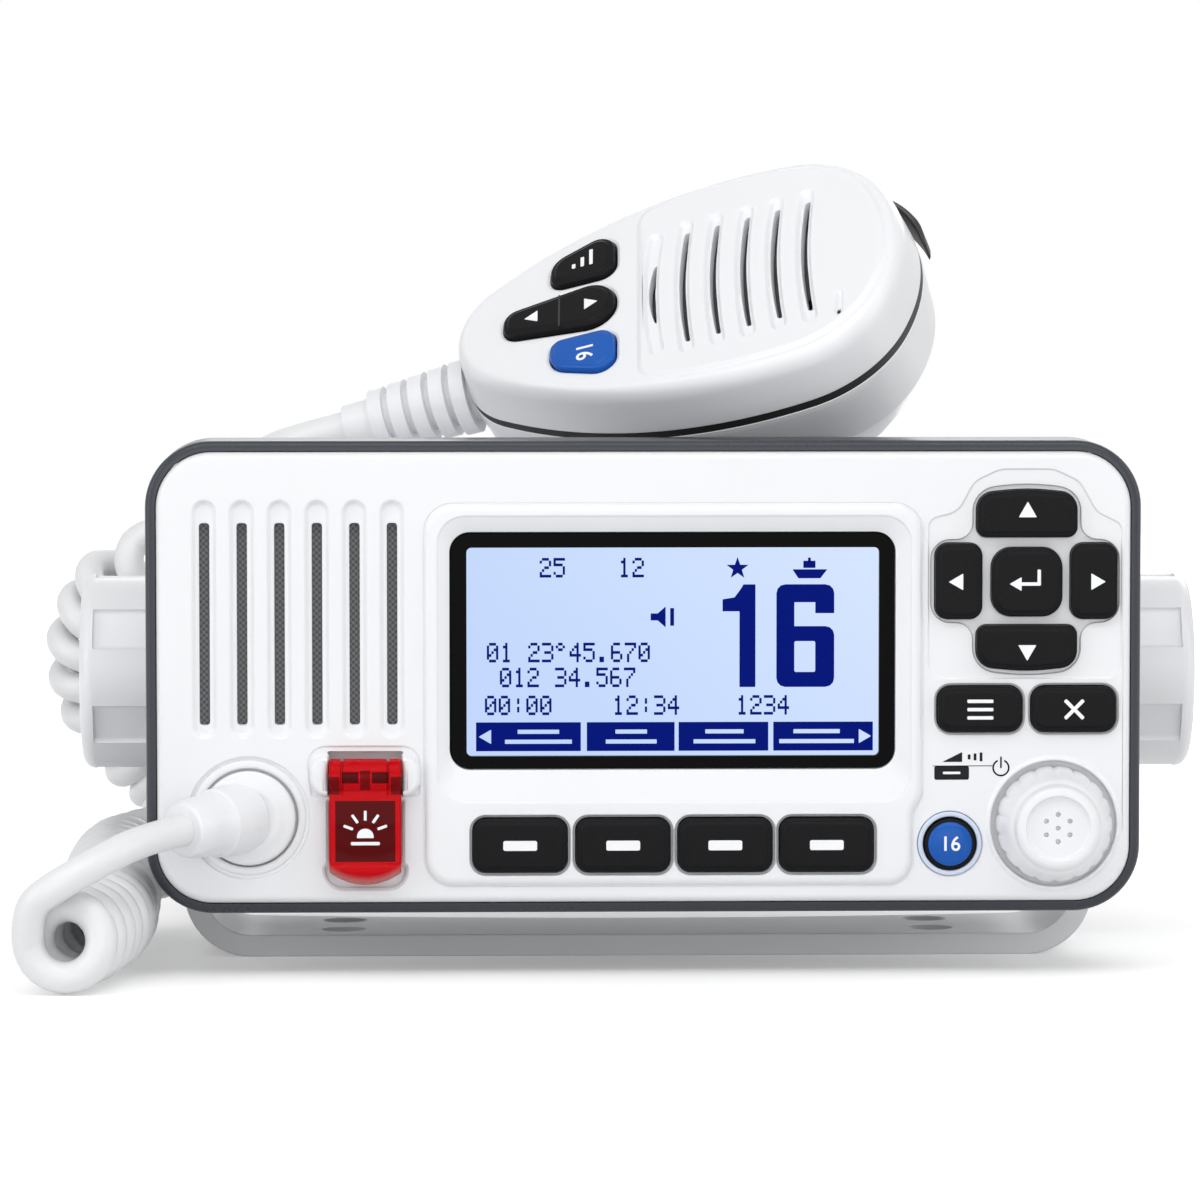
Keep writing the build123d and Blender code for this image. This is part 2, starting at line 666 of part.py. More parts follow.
# edges of the front board, and the posts that carry it
board_left = speaker_x + speaker_radius + 3.4
board_right = cover_width / 2 - cover_wall - 2.0
board_top = cover_height / 2 - cover_wall - 3.25
board_low = 1.25 + cover_wall - cover_height / 2
screen_right = lens_x + lens_width / 2
post_radius = 2.0
board_posts = [
    (board_left + 0.5, board_top - 1.5),
    (screen_right + 3.7, board_top - 1.5),
    (board_left + 1.0, board_low + post_radius),
    (screen_right + 0.7, board_low + post_radius),
]
with BuildPart() as front_cover:
    with BuildSketch(front(cover_depth)):
        RectangleRounded(cover_width, cover_height, cover_radius)
    extrude(amount=cover_depth)
    fillet(front_cover.faces().sort_by(Axis.Y)[0].edges(), cover_edge)
    with BuildSketch(front(cover_depth)):
        RectangleRounded(
            cover_width - 2 * cover_wall, cover_height - 2 * cover_wall, cover_radius - cover_wall
        )
    extrude(amount=cover_depth - face_wall, mode=Mode.SUBTRACT)
    # raised frame round the screen and soft keys
    with BuildSketch(front(0)):
        rounded(frame_x, frame_z, frame_width, frame_height, frame_radius)
    extrude(amount=frame_rise, taper=frame_taper)
    # thicker pad behind the emergency pocket, posts for the front board
    with BuildSketch(front(face_wall)):
        rounded(flap_x, pocket_z, flap_pocket_width + pocket_wall, pocket_height + 1.0, 2.0)
    extrude(amount=-(pocket_wall - face_wall))
    with BuildSketch(front(face_wall)):
        with Locations(*board_posts):
            Circle(post_radius)
    extrude(amount=-(board_depth - face_wall))
    # sloping bezel down to the lens
    with BuildSketch(front(-frame_rise)):
        rounded(bezel_x, bezel_z, bezel_width, bezel_height, bezel_radius)
    with BuildSketch(front(lens_depth)):
        rounded(lens_x, lens_z, lens_width + 2 * snug, lens_height + 2 * snug, lens_radius)
    loft(mode=Mode.SUBTRACT)
    with BuildSketch(front(lens_depth)):
        rounded(lens_x, lens_z, lens_width + 2 * snug, lens_height + 2 * snug, lens_radius)
    extrude(amount=-lens_thickness, mode=Mode.SUBTRACT)
    with BuildSketch(front(0)):
        rounded(lens_x, lens_z, lens_width - 2 * lens_ledge, lens_height - 2 * lens_ledge, lens_ledge)
    extrude(amount=-2 * face_wall, mode=Mode.SUBTRACT)
    # wells round the keys, then the key holes
    with BuildSketch(front(-frame_rise)):
        draw_keys(("soft",), soft_well)
    extrude(amount=-(frame_rise + gap), mode=Mode.SUBTRACT)
    with BuildSketch(front(0)):
        draw_keys(("up", "down", "side", "centre"), pad_well)
    extrude(amount=-well_depth, mode=Mode.SUBTRACT)
    with BuildSketch(front(0)):
        draw_keys(("wide",), wide_well)
    extrude(amount=-well_depth / 2, mode=Mode.SUBTRACT)
    with BuildSketch(front(-frame_rise)):
        draw_keys(("soft", "up", "down", "side", "centre", "wide"), gap)
    extrude(amount=-2 * face_wall, mode=Mode.SUBTRACT)
    # speaker grooves and slots
    with BuildSketch(front(0)):
        for i in range(slot_count):
            with Locations((slot_first + i * slot_pitch, groove_z)):
                SlotOverall(groove_length, groove_width, rotation=90)
    extrude(amount=-groove_depth, taper=groove_taper, mode=Mode.SUBTRACT)
    with BuildSketch(front(0)):
        for i in range(slot_count):
            rounded(slot_first + i * slot_pitch, slot_z, slot_width, slot_length, slot_radius)
    extrude(amount=-2 * face_wall, mode=Mode.SUBTRACT)
    # microphone socket: shallow ring, then the hole
    with BuildSketch(front(0, socket_x, socket_z)):
        Circle(socket_ring)
    extrude(amount=-socket_step, mode=Mode.SUBTRACT)
    with BuildSketch(front(0, socket_x, socket_z)):
        Circle(socket_hole)
    extrude(amount=-2 * face_wall, mode=Mode.SUBTRACT)
    # volume knob well and shaft hole
    with BuildSketch(front(0, volume_x, volume_z)):
        Circle(well_radius)
    extrude(amount=-volume_well, mode=Mode.SUBTRACT)
    with BuildSketch(front(0, volume_x, volume_z)):
        Circle(shaft_radius + gap)
    extrude(amount=-2 * face_wall, mode=Mode.SUBTRACT)
    # channel 16 key and its ring
    with BuildSketch(front(-frame_rise, round_x, round_z)):
        Circle(ring_outer + snug)
    extrude(amount=-2 * face_wall, mode=Mode.SUBTRACT)
    # emergency flap: ears, then the pocket between and below them
    for sense in (-1, 1):
        ear = Plane(
            origin=(
                flap_x + sense * (flap_pocket_width / 2),
                face_y + flap_pivot_depth,
                panel_centre + flap_pivot_z,
            ),
            z_dir=(sense, 0, 0),
        )
        with BuildSketch(ear):
            Circle(ear_radius)
        extrude(amount=ear_width, taper=22)
    with BuildSketch(front(0)):
        rounded(flap_x, pocket_z, flap_pocket_width, pocket_height, 0.6)
        rounded(flap_x, pocket_end_z + 5.0, flap_pocket_width + 1.6, 10.0, 4.0)
    extrude(amount=-flap_pocket, mode=Mode.SUBTRACT)
    with BuildSketch(front(0)):
        rounded(
            flap_x, flap_pivot_z, flap_pocket_width, 2 * (barrel_radius + gap) + 1.0, 0.6
        )
    extrude(amount=-barrel_floor, mode=Mode.SUBTRACT)
    with BuildSketch(front(0)):
        rounded(
            flap_x, emergency_z, emergency_width + 2 * gap, emergency_height + 2 * gap,
            emergency_radius + gap,
        )
    extrude(amount=-2 * pocket_wall, mode=Mode.SUBTRACT)
    pin_line = Plane(
        origin=(flap_x, face_y + flap_pivot_depth, panel_centre + flap_pivot_z), z_dir=(1, 0, 0)
    )
    with BuildSketch(pin_line):
        Circle(pin_radius)
    extrude(amount=flap_width / 2 + pin_grip, both=True, mode=Mode.SUBTRACT)
save(front_cover, "front_cover")

with BuildPart() as panel_back:
    with BuildSketch(front(cover_depth)):
        RectangleRounded(cover_width, cover_height, cover_radius)
        Rectangle(*cable_way, mode=Mode.SUBTRACT)
        with Locations(*flange_screws):
            Circle(screw_radius, mode=Mode.SUBTRACT)
    extrude(amount=-back_plate)
save(panel_back, "panel_back")

with BuildPart() as lens:
    with BuildSketch(front(lens_depth)):
        rounded(lens_x, lens_z, lens_width, lens_height, lens_radius - snug)
    extrude(amount=-lens_thickness)
save(lens, "lens")

screen_front = lens_depth + lens_thickness
with BuildPart() as screen_module:
    with BuildSketch(front(screen_front)):
        rounded(
            lens_x, lens_z, lens_width - 2 * lens_ledge - 2 * snug,
            lens_height - 2 * lens_ledge - 2 * snug, lens_ledge - snug,
        )
    extrude(amount=-(board_depth - screen_front))
save(screen_module, "screen_module")

with BuildPart() as front_board:
    with BuildSketch(front(board_depth)):
        with Locations(((board_left + board_right) / 2, (board_low + board_top) / 2)):
            RectangleRounded(board_right - board_left, board_top - board_low, cover_radius - 2.0)
        with Locations((flap_x + 2.4, emergency_z + 2.1)):
            Rectangle(24.0, 22.0)
    extrude(amount=-board_thickness)
save(front_board, "front_board")

# ---------------------------------------------------------------- front keys and their switches
key_back = board_depth - switch_height - plunger_height - key_travel - snug
flange_front = face_wall + snug


def build_key(label, drawing, proud, hidden_from, flange=key_flange, stem=(0.0, 0.0)):
    """Cap through the face, retaining flange behind it, stem down to the switch."""
    with BuildPart() as key:
        with BuildSketch(front(-proud)):
            drawing()
        extrude(amount=-(hidden_from + key_flange_thickness + proud))
        chamfer(key.faces().sort_by(Axis.Y)[0].edges(), key_chamfer)
        with BuildSketch(front(hidden_from)):
            drawing()
            offset(amount=flange)
        extrude(amount=-key_flange_thickness)
        with BuildSketch(front(hidden_from + key_flange_thickness, *stem)):
            Circle(stem_radius)
        extrude(amount=-(key_back - hidden_from - key_flange_thickness))
    save(key, label)


for name, x, z, width, height, kind in front_keys:
    proud = frame_rise + 0.9 if kind == "soft" else key_proud
    grow = 0.5 if kind in ("soft", "wide") else key_flange - 0.2
    build_key(
        name,
        lambda: draw_key(x, z, width, height, kind),
        proud,
        flange_front,
        flange=grow,
        stem=(x, z),
    )

# turned profile: shallow dome, cap, flange and stem; x is the radius, y the depth
dome_radius, dome_edge, dome_proud = 4.0, 0.6, 1.9
with BuildPart() as channel_key:
    with BuildSketch(turned(round_x, round_z)):
        with BuildLine():
            Polyline(
                (0, key_back),
                (stem_radius, key_back),
                (stem_radius, flange_front + key_flange_thickness),
                (round_radius + key_flange, flange_front + key_flange_thickness),
                (round_radius + key_flange, flange_front),
                (round_radius, flange_front),
                (round_radius, -dome_edge),
                (dome_radius, -dome_edge),
            )
            TangentArc((0, -dome_proud), (dome_radius, -dome_edge), tangent=(1, 0))
            Line((0, -dome_proud), (0, key_back))
        make_face()
    revolve(axis=front_axis(round_x, round_z))
save(channel_key, "channel_key")

with BuildPart() as channel_ring:
    with BuildSketch(front(-0.4, round_x, round_z)):
        ring(ring_inner, ring_outer)
    extrude(amount=-(face_wall + 0.4))
save(channel_ring, "channel_ring")

with BuildPart() as emergency_key:
    with BuildSketch(front(emergency_front)):
        rounded(flap_x, emergency_z, emergency_width, emergency_height, emergency_radius)
    extrude(amount=-(pocket_wall + snug + key_flange_thickness - emergency_front))
    chamfer(emergency_key.faces().sort_by(Axis.Y)[0].edges(), key_chamfer)
    with BuildSketch(front(pocket_wall + snug)):
        rounded(flap_x, emergency_z, emergency_width + 1.6, emergency_height + 1.6, emergency_radius)
    extrude(amount=-key_flange_thickness)
    with BuildSketch(front(pocket_wall, flap_x, emergency_z)):
        Circle(stem_radius)
    extrude(amount=-(key_back - pocket_wall))
save(emergency_key, "emergency_key")

switch_places = [(x, z) for _, x, z, _, _, _ in front_keys]
switch_places += [(round_x, round_z), (flap_x, emergency_z)]
with BuildPart() as key_switches:
    with BuildSketch(front(board_depth)):
        with Locations(*switch_places):
            Rectangle(switch_size, switch_size)
    extrude(amount=switch_height)
    with BuildSketch(front(board_depth - switch_height)):
        with Locations(*switch_places):
            Circle(plunger_radius)
    extrude(amount=plunger_height)
save(key_switches, "key_switches")

# ---------------------------------------------------------------- emergency flap
hinge = Plane(
    origin=(flap_x, face_y + flap_pivot_depth, panel_centre + flap_pivot_z),
    x_dir=(0, 1, 0),
    z_dir=(1, 0, 0),
)
pane_top = pane_depth - flap_pivot_depth        # along the hinge plane's own x
pane_low = flap_end_z - flap_pivot_z
with BuildPart() as flap:
    with BuildSketch(hinge):
        Circle(barrel_radius)
        with BuildLine():
            Polyline(
                (pane_top - 0.4, 0.0),
                (pane_top, pane_low + 3.4),
                (pane_top - 1.2, pane_low),
                (pane_top - 0.1, pane_low),
                (pane_top + pane_thickness, pane_low + 2.6),
                (pane_top + pane_thickness, 0.0),
                close=True,
            )
        make_face()
    extrude(amount=flap_width / 2, both=True)
    # side skirts
    for sense in (-1, 1):
        skirt = hinge.offset(sense * flap_width / 2)
        with BuildSketch(skirt):
            with Locations((pane_top + pane_thickness, -2.0)):
                Rectangle(2.2, -pane_low - 6.0, align=(Align.MIN, Align.MAX))
        extrude(amount=-sense * 1.3)
    # rounded lower corners of the pane
    with BuildSketch(front(-8.0)):
        rounded(
            flap_x, (flap_pivot_z + barrel_radius + flap_end_z) / 2,
            flap_width, flap_pivot_z + barrel_radius - flap_end_z + 0.4, 3.0,
        )
        rounded(flap_x, flap_pivot_z, flap_width, 2 * barrel_radius + 0.6, 0.2)
    extrude(amount=-16.0, mode=Mode.INTERSECT)
    # slot for the spring coil, and the pin bore
    with BuildSketch(hinge):
        Circle(barrel_radius + 0.2)
        with Locations((pane_top, 0)):
            Rectangle(3.0, 20.0, mode=Mode.SUBTRACT)
    extrude(amount=2.6, both=True, mode=Mode.SUBTRACT)
    with BuildSketch(hinge):
        Circle(pin_radius + running)
    extrude(amount=flap_width, both=True, mode=Mode.SUBTRACT)
save(flap, "flap")

with BuildPart() as flap_pin:
    with BuildSketch(hinge):
        Circle(pin_radius)
    extrude(amount=flap_width / 2 + pin_grip, both=True)
save(flap_pin, "flap_pin")

# ---------------------------------------------------------------- speaker
with BuildPart() as speaker_net:
    with BuildSketch(front(face_wall)):
        rounded(
            speaker_x, slot_z, (slot_count - 1) * slot_pitch + slot_width + 2 * net_margin,
            slot_length + 2 * net_margin, 2.0,
        )
    extrude(amount=-net_thickness)
save(speaker_net, "speaker_net")

speaker_front = face_wall + net_thickness
speaker_back = speaker_front + speaker_height
with BuildPart() as speaker:
    with BuildSketch(turned(speaker_x, slot_z)):
        with BuildLine():
            Polyline(
                (0, speaker_front + cone_depth),
                (magnet_radius - 3.0, speaker_front + cone_depth),
                (speaker_radius - 3.0, speaker_front),
                (speaker_radius, speaker_front),
                (speaker_radius, speaker_front + speaker_flange),
                (speaker_radius - 2.5, speaker_front + speaker_flange),
                (magnet_radius + 1.0, speaker_back - magnet_height),
                (magnet_radius, speaker_back - magnet_height),
                (magnet_radius, speaker_back),
                (0, speaker_back),
                close=True,
            )
        make_face()
    revolve(axis=front_axis(speaker_x, slot_z))
save(speaker, "speaker")

# ---------------------------------------------------------------- volume control
with BuildPart() as volume_knob:
    with BuildSketch(turned(volume_x, volume_z)):
        with BuildLine():
            Polyline(
                (0, dish_depth - knob_height),
                (dish_radius, dish_depth - knob_height),
                (dish_radius, -knob_height),
                (knob_top_radius - 1.0, -knob_height),
                (knob_top_radius, knob_edge - knob_height),
                (knob_radius, -knob_skirt),
                (knob_radius, knob_foot),
                (shaft_radius, knob_foot),
                (shaft_radius, knob_roof - knob_height),
                (0, knob_roof - knob_height),
                close=True,
            )
        make_face()
    revolve(axis=front_axis(volume_x, volume_z))
    # grip notches round the rim
    with BuildSketch(front(knob_foot, volume_x, volume_z)):
        with PolarLocations(knob_radius + 0.9, notch_count):
            Circle(1.5)
    extrude(amount=knob_height - knob_roof, mode=Mode.SUBTRACT)
save(volume_knob, "volume_knob")

encoder_front = 6.0
bush_height = 2.6
plunger_front = 10.0
plunger_thickness = 1.6
with BuildPart() as volume_shaft:
    with BuildSketch(front(knob_roof - knob_height, volume_x, volume_z)):
        Circle(shaft_radius)
    extrude(amount=-(plunger_front + knob_height - knob_roof))
save(volume_shaft, "volume_shaft")

with BuildPart() as volume_plunger:
    with BuildSketch(front(plunger_front, volume_x, volume_z)):
        Circle(shaft_radius)
    extrude(amount=-plunger_thickness)
save(volume_plunger, "volume_plunger")

with BuildPart() as encoder:
    with BuildSketch(front(board_depth, volume_x, volume_z)):
        Rectangle(encoder_size, encoder_size)
    extrude(amount=board_depth - encoder_front)
    with BuildSketch(front(encoder_front, volume_x, volume_z)):
        Circle(encoder_bush)
    extrude(amount=bush_height)
    encoder_floor = plunger_front + plunger_thickness + push_travel + 2 * snug
    with BuildSketch(front(encoder_floor, volume_x, volume_z)):
        Circle(shaft_radius + running)
    extrude(amount=encoder_floor - encoder_front + bush_height, mode=Mode.SUBTRACT)
save(encoder, "encoder")

# ---------------------------------------------------------------- microphone socket and plug
with BuildPart() as mic_socket:
    with BuildSketch(front(socket_front, socket_x, socket_z)):
        Circle(socket_hole - snug)
    extrude(amount=-socket_depth)
    with BuildSketch(front(face_wall, socket_x, socket_z)):
        Circle(socket_ring)
    extrude(amount=-2.0)
    with BuildSketch(front(socket_front, socket_x, socket_z)):
        Circle(spigot_radius + snug)
    extrude(amount=-(spigot_length + 1.0), mode=Mode.SUBTRACT)
save(mic_socket, "mic_socket")

# the plug's boot leans to the left of the socket's axis
boot_turn = 40.0
boot_drop = 4.0
plug_boot = 16.0
cord_grip = 3.0            # length of cord held in a boot
boot_dir = Vector(
    -sin(radians(boot_turn)), -cos(radians(boot_turn)), -sin(radians(boot_drop))
).normalized()
boot_root = Vector(socket_x - 1.2, face_y - plug_proud + 2.6, panel_centre + socket_z)
boot_plane = Plane(origin=boot_root, x_dir=(0, 0, 1), z_dir=boot_dir)
boot_stations = [(0.0, 6.6), (8.0, 6.0), (8.0, 5.3), (plug_boot, 4.9)]     # distance out, radius
boot_profile = Plane(origin=boot_root, x_dir=boot_plane.x_dir, z_dir=boot_dir.cross(boot_plane.x_dir))
with BuildPart() as cord_plug:
    # turned boot, hollow at its end where the cord is held
    with BuildSketch(boot_profile):
        with BuildLine():
            Polyline(
                (0, 0),
                *((radius, -reach) for reach, radius in boot_stations),
                (wire / 2, -plug_boot),
                (wire / 2, cord_grip - plug_boot),
                (0, cord_grip - plug_boot),
                close=True,
            )
        make_face()
    revolve(axis=Axis(boot_root, boot_dir))
    # nothing of the boot reaches back into the socket
    with BuildSketch(front(-snug, socket_x, socket_z)):
        Circle(3 * plug_radius)
    extrude(amount=-3 * plug_radius, mode=Mode.SUBTRACT)
    with BuildSketch(front(socket_front - snug, socket_x, socket_z)):
        Circle(plug_radius)
    extrude(amount=socket_front - snug + plug_proud)
    with BuildSketch(front(socket_front - snug, socket_x, socket_z)):
        Circle(spigot_radius)
    extrude(amount=-spigot_length)
save(cord_plug, "cord_plug")

# ---------------------------------------------------------------- hand microphone
yaw, rise, lean = radians(mic_yaw), radians(mic_rise), radians(mic_lean)
mic_long = Vector(cos(rise) * cos(yaw), -cos(rise) * sin(yaw), sin(rise))
level = Vector(-sin(yaw), -cos(yaw), 0)
upright = level.cross(mic_long)
mic_normal = level * cos(lean) + upright * sin(lean)
mic = Plane(origin=mic_origin, x_dir=mic_long, z_dir=mic_normal)


def mic_outline(inset=0.0):
    """Egg of tangent arcs, head at +x; every radius shrinks by inset."""
    heading = 90.0
    x, y = mic_head - inset, 0.0
    with BuildLine() as outline:
        for radius, angle in mic_arcs:
            r = radius - inset
            JernArc((x, y), (cos(radians(heading)), sin(radians(heading))), r, angle)
            turn = heading + angle
            x += r * (sin(radians(turn)) - sin(radians(heading)))
            y -= r * (cos(radians(turn)) - cos(radians(heading)))
            heading = turn
        tail = y / -cos(radians(heading))
        JernArc((x, y), (cos(radians(heading)), sin(radians(heading))), tail, 270 - heading)
        mirror(about=Plane.XZ)
    make_face(outline.edges())


mic_slots = [mic_slot_first + i * mic_slot_pitch for i in range(mic_slot_count)]


def mic_keys(grow, wanted=("level", "rocker", "channel")):
    """Outlines of the microphone's keys, in the plane of its face."""
    outlines = {
        "level": [(-23.2, 7.6), (-10.6, 7.6), (-10.6, 19.7), (-23.2, 14.5)],
        "channel": [(-23.2, -14.5), (-10.6, -19.7), (-10.6, -7.6), (-23.2, -7.6)],
        "rocker": [(-32.4, -3.2), (-10.6, -6.4), (-10.6, 6.4), (-32.4, 3.2)],
    }
    for name in wanted:
        with BuildLine() as outline:
            FilletPolyline(*outlines[name], radius=2.6, close=True)
        make_face(outline.edges())
    offset(amount=grow)


def mic_slot(x, low, high, width):
    """One bowed slot of the microphone's grille."""
    with BuildLine(mode=Mode.PRIVATE) as path:
        ThreePointArc((x, low), (x - mic_slot_bow, (low + high) / 2), (x, high))
    SlotArc(path.edge(), height=width)


mic_tail = -42.9
boot_length = 25.5
boot_seat = 1.6             # depth of the boot's seat in the shells
boot_neck = 4.0             # reach of its neck into them
boot_radius = 5.2
boot_neck_radius = 3.6
rib_count = 5
rib_pitch = 4.2
rib_width = 2.7
rib_radius, rib_fall = 7.2, 0.4     # first rib, and how much each next one loses
boot_axis = Plane(
    origin=mic.from_local_coords(Vector(mic_tail, 0, -1.0)), x_dir=mic_normal, z_dir=-mic_long
)

# seat and neck hole of the boot, taken out of both shells and the seal
with BuildPart() as boot_way:
    with BuildSketch(boot_axis.offset(-boot_seat)):
        Circle(boot_radius + snug)
    extrude(amount=boot_seat + 3.0)
    with BuildSketch(boot_axis.offset(-boot_neck)):
        Circle(boot_neck_radius + snug)
    extrude(amount=boot_neck)

shell_posts = [(x, sense * w) for x, w in ((-29.5, 9.5), (31.0, 14.0)) for sense in (1, -1)]
with BuildPart() as mic_front_shell:
    with BuildSketch(mic.offset(seam_half)):
        mic_outline()
    with BuildSketch(mic.offset(mic_front_depth)):
        mic_outline(mic_front_inset)
    loft()
    fillet(mic_front_shell.faces().sort_by(Axis(mic_origin, mic_normal))[-1].edges(), mic_edge)
    # raised tray round the grille
    with BuildSketch(mic.offset(mic_front_depth)):
        mic_outline(mic_front_inset + mic_edge + 1.6)
        with Locations((mic_slot_first - 5.4, 0)):
            Rectangle(60.0, 70.0, align=(Align.MIN, Align.CENTER), mode=Mode.INTERSECT)
    extrude(amount=mic_tray)
    with BuildSketch(mic.offset(seam_half)):
        mic_outline(mic_wall)
    with BuildSketch(mic.offset(mic_front_depth - mic_wall)):
        mic_outline(mic_wall + mic_front_inset)
    loft(mode=Mode.SUBTRACT)
    with BuildSketch(mic.offset(seam_half)):
        with Locations(*shell_posts):
            Circle(mic_post)
    extrude(amount=mic_front_depth - mic_wall - seam_half)
    with BuildSketch(mic.offset(seam_half)):
        with Locations(*shell_posts):
            Circle(screw_radius)
    extrude(amount=6.0, mode=Mode.SUBTRACT)
    # bowed grooves with a slot in each; the first is shorter
    with BuildSketch(mic.offset(mic_front_depth + mic_tray)):
        for i, x in enumerate(mic_slots):
            half = mic_groove_half - 1.5 if i == 0 else mic_groove_half
            mic_slot(x, mic_slot_z - half, mic_slot_z + half, mic_groove_width)
    extrude(amount=-mic_groove_depth, mode=Mode.SUBTRACT)
    with BuildSketch(mic.offset(mic_front_depth + mic_tray)):
        for i, x in enumerate(mic_slots):
            half = 8.0 if i == 0 else mic_slot_half
            mic_slot(x, mic_slot_z + 0.6 - half, mic_slot_z + 0.6 + half, mic_slot_width)
        with Locations((32.6, -22.6)):
            Circle(0.6)
    extrude(amount=-3.5, mode=Mode.SUBTRACT)
    with BuildSketch(mic.offset(mic_front_depth)):
        mic_keys(gap)
    extrude(amount=-3.5, mode=Mode.SUBTRACT)
    add(boot_way, mode=Mode.SUBTRACT)
save(mic_front_shell, "mic_front_shell")

with BuildPart() as mic_seal:
    with BuildSketch(mic.offset(-seam_half)):
        mic_outline(0.3)
    extrude(amount=2 * seam_half)
    with BuildSketch(mic.offset(-seam_half)):
        mic_outline(4.0)
    extrude(amount=2 * seam_half, mode=Mode.SUBTRACT)
    add(boot_way, mode=Mode.SUBTRACT)
save(mic_seal, "mic_seal")

# hollow of the rear shell, less the posts its screws pass through
with BuildPart() as rear_cavity:
    with BuildSketch(mic.offset(-seam_half)):
        mic_outline(mic_wall)
    with BuildSketch(mic.offset(mic_wall - mic_rear_depth)):
        mic_outline(mic_wall + mic_rear_inset)
    loft()
    with BuildSketch(mic.offset(-seam_half)):
        with Locations(*shell_posts):
            Circle(mic_post_hole)
    extrude(amount=-mic_rear_depth, mode=Mode.SUBTRACT)

with BuildPart() as mic_rear_shell:
    with BuildSketch(mic.offset(-seam_half)):
        mic_outline()
    with BuildSketch(mic.offset(-mic_waist_depth)):
        mic_outline(mic_waist_inset)
    loft()
    with BuildSketch(mic.offset(-mic_waist_depth)):
        mic_outline(mic_waist_inset)
    with BuildSketch(mic.offset(-mic_rear_depth)):
        mic_outline(mic_rear_inset)
    loft()
    back_face = mic_rear_shell.faces().sort_by(Axis(mic_origin, mic_normal))[0]
    fillet(back_face.edges(), mic_back_edge)
    add(rear_cavity, mode=Mode.SUBTRACT)
    with BuildSketch(mic.offset(-seam_half)):
        with Locations(*shell_posts):
            Circle(screw_radius + snug)
    extrude(amount=-mic_rear_depth, mode=Mode.SUBTRACT)
    with BuildSketch(mic.offset(-mic_rear_depth - 1.0)):
        with Locations(*shell_posts):
            Circle(screw_head_radius + gap + snug)
    extrude(amount=mic_rear_depth - mic_waist_depth + 2.0, mode=Mode.SUBTRACT)
    add(boot_way, mode=Mode.SUBTRACT)
save(mic_rear_shell, "mic_rear_shell")

with BuildPart() as mic_screws:
    head_seat = mic_waist_depth - 1.0
    with BuildSketch(mic.offset(-head_seat)):
        with Locations(*shell_posts):
            Circle(screw_head_radius)
    extrude(amount=-screw_head_height)
    with BuildSketch(mic.offset(-head_seat)):
        with Locations(*shell_posts):
            Circle(screw_radius)
    extrude(amount=head_seat + seam_half + 5.0)
save(mic_screws, "mic_screws")

stud_neck, stud_neck_length = 3.6, 2.4
stud_head, stud_head_height, stud_head_edge = 7.6, 1.8, 0.6
stud_place = 2.0            # along the microphone, from its origin
with BuildPart() as hanger_stud:
    with BuildSketch(mic.offset(-mic_rear_depth)):
        with Locations((stud_place, 0)):
            Circle(stud_neck)
    extrude(amount=-stud_neck_length)
    with BuildSketch(mic.offset(-mic_rear_depth - stud_neck_length)):
        with Locations((stud_place, 0)):
            Circle(stud_head)
    extrude(amount=-stud_head_height)
    outer_face = hanger_stud.faces().sort_by(Axis(mic_origin, mic_normal))[0]
    chamfer(outer_face.edges(), stud_head_edge)
save(hanger_stud, "hanger_stud")

mic_board_top = 2.6
with BuildPart() as mic_board:
    with BuildSketch(mic.offset(mic_board_top)):
        mic_outline(mic_wall + 2.6)
        with Locations((-5.4, 0)):
            Rectangle(60.0, 70.0, align=(Align.MAX, Align.CENTER), mode=Mode.INTERSECT)
        with Locations(*shell_posts[:2]):
            Circle(4.4, mode=Mode.SUBTRACT)
    extrude(amount=-board_thickness)
save(mic_board, "mic_board")

mic_speaker_place = ((mic_slots[0] + mic_slots[-1]) / 2, mic_slot_z)
mic_speaker_radius, mic_speaker_flange = 16.5, 1.5
with BuildPart() as mic_speaker:
    with BuildSketch(mic.offset(mic_front_depth - mic_wall)):
        with Locations(mic_speaker_place):
            Circle(mic_speaker_radius)
    extrude(amount=-mic_speaker_flange)
    with BuildSketch(mic.offset(mic_front_depth - mic_wall - mic_speaker_flange)):
        with Locations(mic_speaker_place):
            Circle(mic_speaker_radius - 3.0)
    extrude(amount=-cone_depth)
save(mic_speaker, "mic_speaker")

mic_flange_top = mic_front_depth - mic_wall - snug
for name, outline, stem in (
    ("mic_level_key", "level", (-16.9, 12.6)),
    ("mic_channel_key", "channel", (-16.9, -12.6)),
):
    with BuildPart() as mic_key:
        with BuildSketch(mic.offset(mic_front_depth + mic_key_proud)):
            mic_keys(0, (outline,))
        extrude(amount=-(mic_key_proud + mic_wall + snug + key_flange_thickness))
        chamfer(mic_key.faces().sort_by(Axis(mic_origin, mic_normal))[-1].edges(), key_chamfer)
        with BuildSketch(mic.offset(mic_flange_top)):
            mic_keys(0.45, (outline,))
        extrude(amount=-key_flange_thickness)
        with BuildSketch(mic.offset(mic_flange_top)):
            with Locations(stem):
                Circle(stem_radius)
        extrude(amount=-(mic_flange_top - mic_board_top - 0.9))
    save(mic_key, name)

